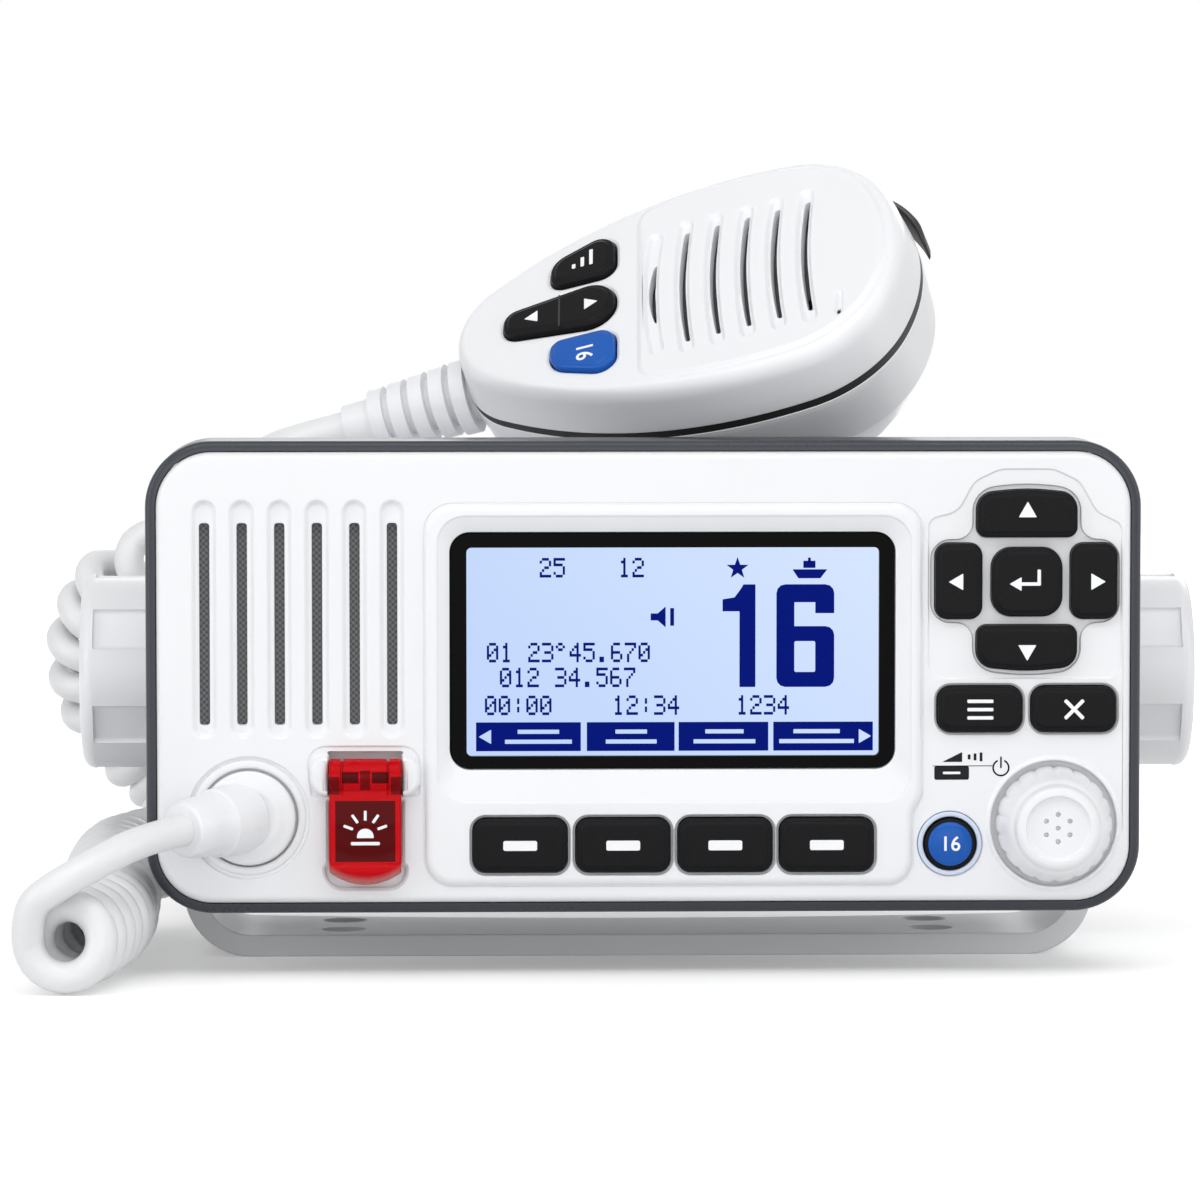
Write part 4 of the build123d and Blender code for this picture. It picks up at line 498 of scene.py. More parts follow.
keyShape = {"root": -2.7, "edge": 0.55, "roll": 1.15, "crown": 0.3, "proud": {"soft": 1.9, "pad": 1.5}}
legends = {
    "pad_up_key": [triangle(69.1, 29.9, 1.9, 90)],
    "pad_down_key": [triangle(69.1, 4.9, 1.9, -90)],
    "pad_left_key": [triangle(56.6, 17.3, 1.75, 180)],
    "pad_right_key": [triangle(81.5, 17.3, 1.75, 0)],
    "pad_centre_key": [stroke(71.2, 19.2, 71.2, 16.9, 0.62), stroke(71.2, 16.9, 67.9, 16.9, 0.62),
                       triangle(67.3, 16.9, 1.45, 180)],
    "menu_key": [stroke(58.6, y, 62.7, y, 0.62) for y in (-4.3, -5.8, -7.3)],
    "clear_key": [stroke(76.2, -7.25, 79.1, -4.35, 0.66), stroke(76.2, -4.35, 79.1, -7.25, 0.66)],
}
legends.update({name: [roundedRect(x, y, 6.1, 1.8, 0.35, 4)] for name, x, y in softSpots})


def makeKeys():
    edge, roll = keyShape["edge"], keyShape["roll"]
    for kind, group in (("soft", softKeys), ("pad", padKeys), ("pad", wideKeys)):
        proud = keyShape["proud"][kind]
        rim = proud - keyShape["crown"]
        for name, outline in group.items():
            form = Form(front)
            form.plug(outline, (0.0, keyShape["root"]), (0.0, rim - 0.55), ("steep", edge, rim, 6),
                      (edge + 0.05, rim), ("ease", roll, proud, 6), (roll + 0.15, proud))
            form.slot = 1
            for order, legend in enumerate(legends[name]):
                form.printed(legend, proud + 0.004 * order)
            form.finish(name + "Cap", [blackKey, keyLegend], name, name, "key_black")


def makeChannelKey():
    # a blue dome on a black key, in a pale ring
    rx, ry, outer = faceParts["channel"]
    dome = 3.98
    form = Form(front)
    form.plug(circle(rx, ry, 4.6, 72), (0.0, -2.7), (0.0, 0.35), ("steep", 0.35, 0.75, 4), (0.55, 0.78))
    form.slot = 1
    form.plug(circle(rx, ry, dome, 72), (0.0, 0.7), (0.0, 0.95), *[(dome * (1 - cos(t)), 0.95 + sin(t))
              for t in (0.1, 0.25, 0.45, 0.65, 0.85, 1.05, 1.25, 1.4)])
    form.slot = 2
    form.lettered("16", rx, ry, 3.7, 1.93, thickness=0.06)
    form.finish("channelKey", [blackKey, blueKey, keyLegend], "channel_key", "channel_key", "key_blue")
    pale = Shade("paleRing")
    pale.set(Base_Color=pale.blend(pale.noise(90.0), (0.56, 0.64, 0.80), (0.64, 0.71, 0.84)), Roughness=0.25)
    ring = Form(front)
    foot, top = ring.mould(circle(rx, ry, outer, 72), (0.0, -2.6), (0.0, 0.2), ("steep", 0.35, 0.45, 4))
    inner, low = ring.mould(circle(rx, ry, 4.9, 72), (-0.25, 0.45), ("flat", 0.0, 0.15, 4), (0.0, -2.6))
    ring.bridge(top, inner)
    ring.bridge(low, foot)
    ring.finish("channelRing", [pale.material], "radio", "channel_ring", "ring_pale")


makeKeys()
print("keys made")
makeChannelKey()

glyphs = {
    "0": "01110 10001 10011 10101 11001 10001 01110", "1": "00100 01100 00100 00100 00100 00100 01110",
    "2": "01110 10001 00001 00110 01000 10000 11111", "3": "11110 00001 00001 01110 00001 00001 11110",
    "4": "00010 00110 01010 10010 11111 00010 00010", "5": "11111 10000 11110 00001 00001 10001 01110",
    "6": "01110 10000 10000 11110 10001 10001 01110", "7": "11111 00001 00010 00100 01000 01000 01000",
    ":": "00000 00100 00100 00000 00100 00100 00000", ".": "00000 00000 00000 00000 00000 01100 01100",
    "°": "01100 10010 01100 00000 00000 00000 00000", " ": "00000 00000 00000 00000 00000 00000 00000",
}
# the screen and the printing are laid out on a grid that runs down; positions, then the corner's radius in mm
grid, gridX, gridY = 5.54, 644.5, 677.7
screenParts = {
    "window": (5.15, 4.65, 74.5, 37.7), "back": -12.9, "surface": -1.95, "ink": -1.93, "mark": -1.9, "lensEdge": -0.42,
    "one": [(740, 612, .1), (740, 688, .1), (756, 688, .1), (756, 585, .1), (744, 585, .1), (741, 590, .3),
            (735, 598, .3), (723, 600, .1), (723, 612, .1)],
    "six": [(777, 688, 1.6), (835, 688, 1.6), (835, 627, 1.6), (795, 627, .05), (795, 603, .05), (816, 603, .05),
            (816, 614, .05), (835, 614, .05), (835, 585, 1.6), (777, 585, 1.6)],
    "eye": [(795, 673, .3), (816, 673, .3), (816, 642, .3), (795, 642, .3)],
    "hull": [(799, 579, .2), (821, 579, .2), (828, 570, .05), (793, 570, .05)],
    "horn": [(651, 621, .05), (658, 621, .05), (666, 628, .05), (666, 607, .05), (658, 614, .05), (651, 614, .05)],
    "tiles": ((810, 565, 2.2, 1.3), (810, 561, 0.5, 1.0), (672.5, 617.5, 0.7, 3.2)),
    "boxes": ((476, 581), (587, 675), (679, 769), (774, 874)), "boxRow": 737.5, "boxHeight": 29,
    "bars": ((505, 572), (606, 657), (694, 756), (780, 855)), "arrows": ((487, 180), (864, 0)),
    "rows": (("25", 568, 540), ("12", 568, 619), ("01 23°45.670", 653, 487), ("012 34.567", 678, 500),
             ("00:00", 706, 485), ("12:34", 706, 613), ("1234", 706, 737)),
    "dot": 2.3, "dotStretch": 1.22, "dotDepth": 0.08, "dotHeight": -1.91,
}


def spot(x, y):
    return (x - gridX) / grid, (gridY - y) / grid


def drawn(corners, steps=3):
    return roundedPoly([(*spot(x, y), r) for x, y, r in corners], steps)


def dotNodes():
    # thin square tiles on points, realised, with their material
    tree = bpy.data.node_groups.new("lcdPixels", "GeometryNodeTree")
    tree.interface.new_socket("Geometry", in_out="INPUT", socket_type="NodeSocketGeometry")
    inputs = {label: tree.interface.new_socket(label, in_out="INPUT", socket_type="NodeSocket" + kind).identifier
              for label, kind in (("Width", "Float"), ("Height", "Float"), ("Depth", "Float"), ("Ink", "Material"))}
    tree.interface.new_socket("Geometry", in_out="OUTPUT", socket_type="NodeSocketGeometry")
    start, end, tile, onPoints, real, paint, size = (tree.nodes.new(kind) for kind in (
        "NodeGroupInput", "NodeGroupOutput", "GeometryNodeMeshCube", "GeometryNodeInstanceOnPoints",
        "GeometryNodeRealizeInstances", "GeometryNodeSetMaterial", "ShaderNodeCombineXYZ"))
    for source, output, target, slot in (
            (start, "Width", size, "X"), (start, "Depth", size, "Y"), (start, "Height", size, "Z"),
            (size, "Vector", tile, "Size"), (start, "Geometry", onPoints, "Points"),
            (tile, "Mesh", onPoints, "Instance"), (onPoints, "Instances", real, "Geometry"),
            (real, "Geometry", paint, "Geometry"), (start, "Ink", paint, "Material"),
            (paint, "Geometry", end, "Geometry")):
        tree.links.new(source.outputs[output], target.inputs[slot])
    return tree, inputs


def makeDots(ink):
    p = screenParts
    points, pitch = [], p["dot"] / grid
    for text, y, left in p["rows"]:
        cornerX, cornerY = spot(left, y)
        for i, letter in enumerate(text):
            for r, row in enumerate(glyphs[letter].split()):
                points += [front(cornerX + (i * 6 + c) * pitch + 0.2, cornerY + (3 - r) * pitch * p["dotStretch"],
                                 p["dotHeight"]) for c, dot in enumerate(row) if dot == "1"]
    mesh = bpy.data.meshes.new("points")
    mesh.from_pydata(points, [], [])
    thing = bpy.data.objects.new("points", mesh)
    modifier = thing.modifiers.new("nodes", "NODES")
    modifier.node_group, inputs = dotNodes()
    for label, value in (("Width", pitch * 0.995 * mm), ("Height", pitch * 1.215 * mm),
                         ("Depth", p["dotDepth"] * mm), ("Ink", ink)):
        modifier[inputs[label]] = value
    dress("displayDots", finalMesh(thing), "radio", None, "screen", smooth=False)


def makeScreen():
    lcd, ink, border = Shade("lcdLit"), Shade("lcdInk"), Shade("screenBorder")
    x, z = lcd.xz()
    glow = lcd.node("ValToRGB", {"stops": [(0.0, (0.53, 0.67, 0.95)), (0.5, (0.60, 0.73, 0.97)),
                                           (1.0, (0.70, 0.80, 0.99))]}, {0: ((x + z) * 9.0 - 0.25).clamped()})
    lcd.set(Base_Color=(0.02, 0.02, 0.03), Emission_Color=glow, Emission_Strength=1.0, Roughness=0.5,
            Specular_IOR_Level=0.0)
    ink.set(Base_Color=(0.002, 0.004, 0.03), Emission_Color=(0.001, 0.006, 0.16), Emission_Strength=1.0,
            Roughness=0.5, Specular_IOR_Level=0.0)
    border.set(Base_Color=(0.002, 0.002, 0.002), Roughness=(0.16 + border.noise(40.0) * 0.05).clamped(),
               Specular_IOR_Level=0.04)

    p = screenParts
    surface, inked, mark = p["surface"], p["ink"], p["mark"]
    form = Form(front)
    form.plug(roundedRect(*p["window"], 0.8, 4), (0.0, p["back"]), (0.0, surface))
    form.slot = 1
    form.printed(drawn(p["one"]), inked)
    outer, top = form.mould(drawn(p["six"]), (0.0, surface), (0.0, mark))
    hole, low = form.mould(drawn(p["eye"]), (0.0, mark), (0.0, surface))
    form.fill([top, hole])
    form.fill([outer, low], inward=True)
    # bottom boxes and the small marks
    for left, right in p["boxes"]:
        form.printed(roundedRect(*spot((left + right) / 2, p["boxRow"]), (right - left) / grid,
                                 p["boxHeight"] / grid, 0.05, 2), inked)
    sx, sy = spot(738, 569)
    star = [(sx + reach / grid * sin(k * pi / 5), sy + reach / grid * cos(k * pi / 5), 0.02)
            for k, reach in enumerate((11.5, 4.6) * 5)]
    form.printed(roundedPoly(star[::-1], 2), inked)
    form.printed(drawn(p["hull"], 2), inked)
    form.printed(drawn(p["horn"], 2), inked)
    for x, y, width, height in p["tiles"]:
        form.printed(roundedRect(*spot(x, y), width, height, 0.05, 2), inked)
    # pale bars and arrows in the boxes
    form.slot = 0
    for left, right in p["bars"]:
        x, y = spot((left + right) / 2, p["boxRow"])
        for row, share in ((-0.9, 1.0), (0.9, 0.62)):
            form.printed(roundedRect(x, y + row, (right - left) / grid * share, 0.75, 0.05, 2), mark)
    for x, turn in p["arrows"]:
        form.printed(triangle(*spot(x, p["boxRow"]), 1.5, turn), mark)
    form.finish("display", [lcd.material, ink.material], "radio", "screen_module", "screen", smooth=False)
    makeDots(ink.material)

    # black border behind the clear lens
    rim, edge = Form(front), p["lensEdge"]
    a, b = rim.mould(roundedRect(*faceParts["lens"], 10), (0.05, mark), (0.05, edge - 0.2), (0.25, edge))
    c, d = rim.mould(roundedRect(*p["window"], 0.9, 10), (0.0, edge), (0.0, mark))
    rim.fill([b, c])
    rim.fill([a, d], inward=True)
    rim.finish("screenFrame", [border.material], "radio", "lens", "lens_glass", 30.0)


makeScreen()
print("screen made")


def makeBand():
    band = Form(front)
    a, b = band.mould(roundedRect(0, 0, 180.0, 85.5, 12.0, 16), (0.0, -19.6), (0.0, -2.9),
                      ("steep", 1.2, -1.65, 6), (1.35, -1.6))
    c, d = band.mould(roundedRect(0, 0, 176.2, 81.7, 10.1, 16), (-0.1, -1.6), (0.0, -1.75), (0.0, -19.6))
    band.bridge(b, c)
    band.bridge(d, a)
    band.finish("slateBand", [slateBand], "radio", "panel_band", "band_slate", 40.0)


knobSizes = {
    "skirt": [(10.4, -0.3), (10.4, 2.6), (10.25, 3.6), (9.85, 4.9), (9.3, 6.2), (8.75, 7.3), (8.35, 7.9)],
    "ring": [(8.05, 8.15), (7.85, 8.4), (7.72, 8.9), (7.6, 9.6), (7.3, 10.15), (6.9, 10.42), (6.5, 10.5)],
    "height": 10.5, "dish": 5.75, "dishDepth": 0.9, "notches": 18, "bite": 0.36,
    "fade": (1.0, 1.0, 0.9, 0.7, 0.4, 0.1, 0.0), "dimple": 0.5, "dimpleRing": 2.45, "dimpleDepth": 0.9,
}


def makeVolumeKnob():
    vx, vy = faceParts["volume"][:2]
    k = knobSizes
    count = k["notches"] * 8

    def rim(radius, depth):
        # short notches round the skirt
        points = []
        for i in range(count):
            a = 2 * pi * i / count
            bite = depth * max(0.0, 1 - abs((i % 8) / 8 - 0.5) / 0.2)
            points.append((vx + (radius - bite) * cos(a), vy + (radius - bite) * sin(a)))
        return points
    form = Form(front)
    rings = [form.ring(rim(r, k["bite"] * fade), h) for (r, h), fade in zip(k["skirt"], k["fade"])]
    rings += [form.ring(rim(r, 0.0), h) for r, h in k["ring"]]
    form.bridge(*rings)
    form.fill([rings[0]], inward=True)
    top, floor = k["height"], k["height"] - k["dishDepth"]
    lip, low = form.mould(circle(vx, vy, k["dish"], 72), (-0.3, top), (-0.25, top), ("flat", 0.0, top - 0.35, 5),
                          (0.0, top - 0.45), ("steep", 0.4, floor, 4), (0.5, floor))
    form.fill([rings[-1], lip])
    # six dimples round one in the middle
    holes = []
    for i in range(7):
        a, reach = radians(60 * i + 30), k["dimpleRing"] if i < 6 else 0.0
        first, last = form.mould(circle(vx + reach * cos(a), vy + reach * sin(a), k["dimple"], 20), (-0.08, floor),
                                 (-0.06, floor), ("flat", 0.06, floor - 0.15, 3), (0.08, floor - k["dimpleDepth"]))
        form.fill([last])
        holes.append(first)
    form.fill([low] + holes)
    form.finish("volumeKnob", [whitePlastic], "volume_knob", "volume_knob", "white_plastic", 40.0)


plugSizes = {
    "disc": 8.5, "proud": 1.6, "root": (-72.7, -51.0, 28.95), "turn": 40.0, "drop": 4.0,
    "boot": [(0.0, 6.4), (3.0, 6.5), (4.2, 6.45), (7.2, 6.2), (7.5, 5.75), (8.0, 5.55), (11.5, 5.5), (14.4, 5.3),
             (15.6, 4.9), (16.0, 4.4), (16.0, 2.95)],      # distance along the boot, radius
}


def makePlug():
    cx, cy = faceParts["socket"][:2]
    top = plugSizes["proud"]
    disc = Form(front)
    disc.plug(circle(cx, cy, plugSizes["disc"], 96), (2.9, -7.7), (2.9, -1.7), (0.0, -1.7), (0.0, 0.3),
              ("steep", 1.0, 0.95, 6), (1.1, 0.98), ("ease", 3.4, top, 8), (3.6, top))
    disc.finish("plugDisc", [whitePlastic], "radio", "cord_plug", "white_plastic", 35.0)
    turn, drop = radians(plugSizes["turn"]), radians(plugSizes["drop"])
    axis = Vector((-sin(turn), -cos(turn), -sin(drop))).normalized()
    side = axis.orthogonal().normalized()
    boot = Form(Place(plugSizes["root"], side, axis.cross(side)))
    rings = [boot.ring(circle(0, 0, r)(), d) for d, r in plugSizes["boot"]]
    boot.bridge(*rings)
    boot.fill([rings[0]], inward=True)
    boot.fill([rings[-1]])
    boot.finish("plugBoot", [whitePlastic], "radio", None, "white_plastic", 30.0)


makeBand()
makeVolumeKnob()
makePlug()
print("band, knob and plug made")

flapShape = {
    "centre": -50.4, "half": 6.5, "pin": (0.7, -17.8), "barrel": 3.3, "knuckles": (-4.2, 4.1), "gap": 0.16, "bite": 0.45,
    "between": [-5.7, -5.2, -4.7, -3.4, -2.6, -1.8, -0.9, 0.0, 0.9, 1.8, 2.6, 3.4, 4.7, 5.2, 5.7],
    "ends": [(0.0, 0.6), (0.06, 0.35), (0.2, 0.15), (0.5, 0.0)],
    "bow": 2.2, "bowFrom": -33.0, "foot": -37.2, "glowLipTop": -36.5,
    # sections as (towards the user, up), before and after the barrel
    "pane": [(2.3, -37.2), (3.0, -37.1), (3.55, -36.5), (4.05, -35.6), (4.3, -34.7), (4.1, -33.9), (3.55, -33.3),
             (3.5, -32.9), (3.45, -28.0), (3.4, -22.2), (3.25, -21.7), (3.1, -21.0)],
    "back": [(-1.2, -20.45), (1.9, -21.3), (1.9, -34.4), (1.95, -36.6)],
    # painted shade: darker areas of the red where the key's pocket and the barrel's hollows lie in shade; distance from
    # the middle, then height
    "window": (-1.0, 5.4, -32.9, -21.9), "shadedBlocks": (1.2, 4.2, -18.7, -16.7), "shadedPost": (-1.0, 0.9, -19.9, -16.4),
    "shadedCheeks": (4.6, 9.9, -20.8, -17.5),
}


def flapMaterial():
    f, tinted = flapShape, Shade("tintedRed")
    x, z = tinted.xz()
    tone = tinted.noise(60.0, 2.0)
    across = (x - f["centre"] * mm).abs()

    def area(name):
        near, far, low, high = f[name]
        return ((across > near * mm) * (across < far * mm) * (z > (front.origin.z + low) * mm)
                * (z < (front.origin.z + high) * mm))
    sideRise = across * across * (f["bow"] / (f["half"] ** 2 * mm))
    # painted glow: the pale, more see-through lip along the foot stands for light shining through the flap's thin
    # curled bottom edge
    lip = 1.0 - ((z - sideRise - (front.origin.z + f["glowLipTop"]) * mm) * 900.0).clamped()
    # painted shade: the window is painted dark red and opaque for the key in its shaded pocket behind the pane, and the
    # patches in and beside the barrel are painted shade in its hollows
    window = area("window")
    dark = (window + area("shadedBlocks") + area("shadedPost") * 0.8 + area("shadedCheeks") * 0.8).clamped()
    body = tinted.blend(dark, tinted.blend(tone, palette["red"], (0.56, 0.002, 0.006)), palette["shadeRed"])
    return tinted.set(Base_Color=tinted.blend(lip, body, (0.62, 0.10, 0.10)),
                      Roughness=(0.06 + tone * 0.03).clamped(), Specular_IOR_Level=0.06,
                      Alpha=(0.96 + window * 0.04 - lip * 0.4).clamped())


def flapRing(form, x, shrink, bite):
    # one section of the flap, pulled in at the ends and round the knuckles' gaps, its foot bowed up
    f = flapShape
    (px, py), r = f["pin"], f["barrel"] - bite
    barrel = [(px + r * cos(radians(a)), py + r * sin(radians(a))) for a in range(-46, 203, 12)]
    section, ring = f["pane"] + barrel + f["back"], []
    for i, (out, up) in enumerate(section):
        along = (Vector(section[(i + 1) % len(section)]) - Vector(section[i - 1])).normalized()
        share = min(max((f["bowFrom"] - up) / (f["bowFrom"] - f["foot"]), 0.0), 1.0)
        up += f["bow"] * (x / f["half"]) ** 2 * share
        ring.append(form.bm.verts.new(front(f["centre"] + x, up + along.x * shrink * 0.5,
                                            out - along.y * shrink * 0.5)))
    return ring


def makeFlap():
    f, form = flapShape, Form(front)
    gap, bite, half, middle = f["gap"], f["bite"], f["half"], f["centre"]
    stations = [(x, 0.0, 0.0) for x in f["between"]]
    for knuckle in f["knuckles"]:
        stations += [(knuckle - gap - 0.12, 0.0, 0.0), (knuckle - gap, 0.0, bite), (knuckle + gap, 0.0, bite),
                     (knuckle + gap + 0.12, 0.0, 0.0)]
    ends = [(half - back, shrink, 0.0) for back, shrink in f["ends"]]
    stations = [(-x, shrink, cut) for x, shrink, cut in ends] + sorted(stations) + ends[::-1]
    form.loft([flapRing(form, *station) for station in stations])
    form.finish("flapShell", [flapMaterial()], "flap", "flap", "flap_red", 40.0)

    # generic beacon on the pane: a lamp with rays
    beacon = Form(front)
    lamp = roundedPoly([(middle - 1.5, -28.6, 0.1), (middle + 1.5, -28.6, 0.1), (middle + 1.5, -26.9, 1.45),
                        (middle - 1.5, -26.9, 1.45)], 6)
    rays = [stroke(middle + 2.6 * cos(a), -27.8 + 2.6 * sin(a), middle + 3.9 * cos(a), -27.8 + 3.9 * sin(a), 0.5)
            for a in map(radians, (20, 55, 90, 125, 160))]
    for outline in [lamp, stroke(middle - 2.3, -29.6, middle + 2.3, -29.6, 0.6)] + rays:
        beacon.plug(outline, (0.0, 3.3), (0.0, 3.54))
    beacon.finish("flapMark", [keyLegend], "flap", None, "key_black", smooth=False)

    key = Form(front)
    key.plug(roundedRect(*faceParts["redKey"]), (0.0, -6.0), (0.0, -0.9), ("steep", 0.5, -0.4, 4), (0.65, -0.4))
    key.finish("emergencyKey", [moulded("keyRed", palette["red"], 0.25, 0.05, gloss=0.15)], "emergency_key",
               "emergency_key", "key_red")


def makePrint():
    form = Form(front)
    form.printed(stroke(*spot(934, 767), *spot(993, 767), 0.14), 0.0)
    # power mark: a broken ring with a bar
    cx, cy = spot(1002, 769)
    arc = [(cx + 1.42 * cos(radians(a)), cy + 1.42 * sin(radians(a))) for a in range(120, 421, 15)]
    for a, b in zip(arc, arc[1:]):
        form.printed(stroke(*a, *b, 0.3), 0.0)
    form.printed(stroke(*spot(1002, 768.5), *spot(1002, 758.5), 0.3), 0.0)
    form.printed(roundedRect(*spot(952.5, 774), 6.3, 2.5, 0.4, 4), 0.0)
    # loudness wedge and its bars
    form.printed(drawn([(943, 763, 0.05), (963, 763, 0.05), (963, 753, 0.05)], 2), 0.0)
    for k, x in enumerate((970, 976, 982)):
        form.printed(roundedRect(*spot(x, 758), 0.5, 0.9 + 0.35 * k, 0.05, 2), 0.0)
    form.slot = 1
    form.printed(stroke(*spot(945, 774), *spot(960, 774), 0.45), 0.02)
    form.finish("facePrint", [panelPrint, keyLegend], "radio", None, "key_black", smooth=False)


makeFlap()
makePrint()
print("flap and printing made")

cordShape = {
    "wire": 5.8, "coil": 18.6, "pitch": 6.15, "opening": 26.0, "perTurn": 30, "unevenness": 0.015,
    "leader": [(-81.04, -60.93, 28.05), (-89.05, -70.49, 27.18), (-97.3, -78.6, 23.6), (-104.6, -82.6, 19.8),
               (-109.9, -80.6, 15.6), (-109.62, -78.52, 9.42)],
    "curl": [(-83.5, 30.0, 81.0), (-96.0, 38.0, 70.5), (-105.3, 43.5, 57.0), (-103.5, 47.0, 43.5), (-96.0, 49.5, 34.0),
             (-88.0, 49.5, 27.0), (-84.3, 44.5, 19.5), (-87.6, 38.0, 15.6), (-94.0, 28.5, 14.4), (-98.2, 14.5, 14.4),
             (-98.4, -4.0, 13.6), (-97.4, -27.0, 11.6), (-97.2, -54.0, 9.8), (-103.5, -80.0, 9.4)],
    "tail": [(-51.34, 6.36, 98.51), (-63.1, 9.29, 95.48), (-71.0, 15.5, 92.4), (-77.3, 26.0, 86.2), (-83.5, 30.0, 81.0)],
}


def splinePoints(points, resolution=24):
    curve = bpy.data.curves.new("route", "CURVE")
    curve.dimensions, curve.resolution_u = "3D", resolution
    spline = curve.splines.new("NURBS")
    spline.points.add(len(points) - 1)
    for point, place in zip(spline.points, points):
        point.co = (*(Vector(place) * mm), 1)
    spline.order_u = 3
    spline.use_endpoint_u = True
    return [v.co.copy() for v in finalMesh(bpy.data.objects.new("route", curve)).vertices]


def carriedFrames(points):
    # directions and side vectors that don't twist along the line
    last = len(points) - 1
    tangents = [(points[min(i + 1, last)] - points[max(i - 1, 0)]).normalized() for i in range(len(points))]
    side, sides = tangents[0].orthogonal().normalized(), []
    for t in tangents:
        side = (side - t * side.dot(t)).normalized()
        sides.append(side.copy())
    return tangents, sides


def coilPoints(axis, arrival):
    # helix round the axis, from the leader's side; gives its points and its number of turns
    tangents, sides = carriedFrames(axis)
    reach = [0.0]
    for a, b in zip(axis, axis[1:]):
        reach.append(reach[-1] + (b - a).length)
    whole, pitch, opening = reach[-1], cordShape["pitch"] * mm, cordShape["opening"] * mm
    full = (cordShape["coil"] / 2 - cordShape["wire"] / 2 - 0.1) * mm
    start = atan2(arrival.dot(tangents[0].cross(sides[0])), arrival.dot(sides[0]))
    steps = round(whole / pitch) * cordShape["perTurn"]
    helix, k, a = [], 0, start
    for i in range(steps):
        f = i / steps
        while k < len(reach) - 2 and reach[k + 1] < f * whole:
            k += 1
        part = (f * whole - reach[k]) / (reach[k + 1] - reach[k])
        centre, t = axis[k].lerp(axis[k + 1], part), tangents[k].lerp(tangents[k + 1], part).normalized()
        s = sides[k].lerp(sides[k + 1], part)
        s = (s - t * s.dot(t)).normalized()
        wide = min((1 - f) * whole / opening, 1.0)       # the last turns open out into the tail
        r = full * wide ** 2 * (3 - 2 * wide)
        # real turns are never quite equal
        r *= 1 - cordShape["unevenness"] * (1 + sin(f * 78.0) * sin(f * 19.0)) * min(f * 30, 1.0)
        helix.append(centre + (s * cos(a) + t.cross(s) * sin(a)) * r)
        a -= 2 * pi / pitch * whole / steps * wide ** 2
    return helix, round((start - a) / (2 * pi))


def makeCord():
    leader = splinePoints(cordShape["leader"])
    axis = splinePoints(cordShape["curl"], 48)[::-1]
    tail = splinePoints(cordShape["tail"])[::-1]
    helix, turns = coilPoints(axis, leader[-1] - axis[0])
    path = leader[:1]
    for point in leader[1:-1] + helix + tail:
        if (point - path[-1]).length > 0.4 * mm:
            path.append(point)
    form, radius = Form(front), cordShape["wire"] / 2 * mm
    angles = [2 * pi * k / 18 for k in range(18)]
    form.loft([[form.bm.verts.new(p + (s * cos(a) + t.cross(s) * sin(a)) * radius) for a in angles]
               for p, t, s in zip(path, *carriedFrames(path))])
    cord = form.finish("cord", [cordSkin], "radio", ["cord_leader", "cord_curl", "cord_tail"], "cord_rubber", 60.0)
    length = round(sum((b - a).length for a, b in zip(path, path[1:])), 3)
    print("cord length", length, "turns", turns)
    tuple(path[0])
    [tuple(p) for p in path]


makeCord()

micParts = {
    "head": 45.4, "arcs": ((36.0, 26.0, 12), (23.0, 58.0, 22), (88.0, 41.0, 24)), "tailSteps": 20,
    "face": 12.5, "wall": 2.4, "seam": (-0.6, 0.5, 2.1), "flat": 2.9,
    "tray": {"inset": 3.4, "left": -3.4, "corner": 4.4, "rise": 0.6},
    "slots": {"first": -2.3, "pitch": 5.9, "count": 6, "bow": 1.2, "y": -1.2, "groove": (18.4, 3.1),
              "slot": (15.2, 1.3)},
    "pinhole": (32.0, -18.6), "lever": {"pivot": (9.0, 28.0), "swing": 2.25, "thick": 1.9, "low": -5.4, "high": 1.7},
}
micKeys = {
    "mic_level_key": roundedPoly([(-23.2, 7.6, 2.6), (-10.6, 7.6, 3.2), (-10.6, 19.7, 3.2), (-23.2, 14.5, 4.6)]),
    "mic_channel_key": roundedPoly([(-23.2, -14.5, 4.6), (-10.6, -19.7, 3.2), (-10.6, -7.6, 3.2), (-23.2, -7.6, 2.6)]),
    "mic_rocker": roundedPoly([(-32.4, -3.3, 3.2), (-10.6, -6.4, 5.2), (-10.6, 6.4, 5.2), (-32.4, 3.3, 3.2)], 10),
}


def egg(inset=0.0):
    # tangent arcs from the head round to the tail, mirrored
    x, y, heading, half = micParts["head"] - inset, 0.0, 90.0, []

    def at(h):
        return (x + radius * (sin(radians(h)) - sin(radians(heading))),
                y - radius * (cos(radians(h)) - cos(radians(heading))))
    for radius, angle, steps in micParts["arcs"]:
        radius -= inset
        half += [at(heading + angle * k / steps) for k in range(steps)]
        x, y = at(heading + angle)
        heading += angle
    radius, steps = y / -cos(radians(heading)), micParts["tailSteps"]
    half += [at(heading + (270 - heading) * k / steps) for k in range(steps + 1)]
    return half + [(a, -b) for a, b in half[-2:0:-1]]


def trayOutline(inset=0.0):
    tray = micParts["tray"]
    base, side = egg(tray["inset"]), egg(tray["inset"] + inset)
    upper = [side[i] for i in range(len(base) // 2) if base[i][0] > tray["left"]]
    cx, cy = upper[-1]
    r = tray["corner"] - inset
    upper += [(cx + r * cos(radians(a)), cy - r + r * sin(radians(a))) for a in range(100, 181, 10)]
    return upper + [(a, -b) for a, b in upper[::-1] if abs(b) > 1e-6]


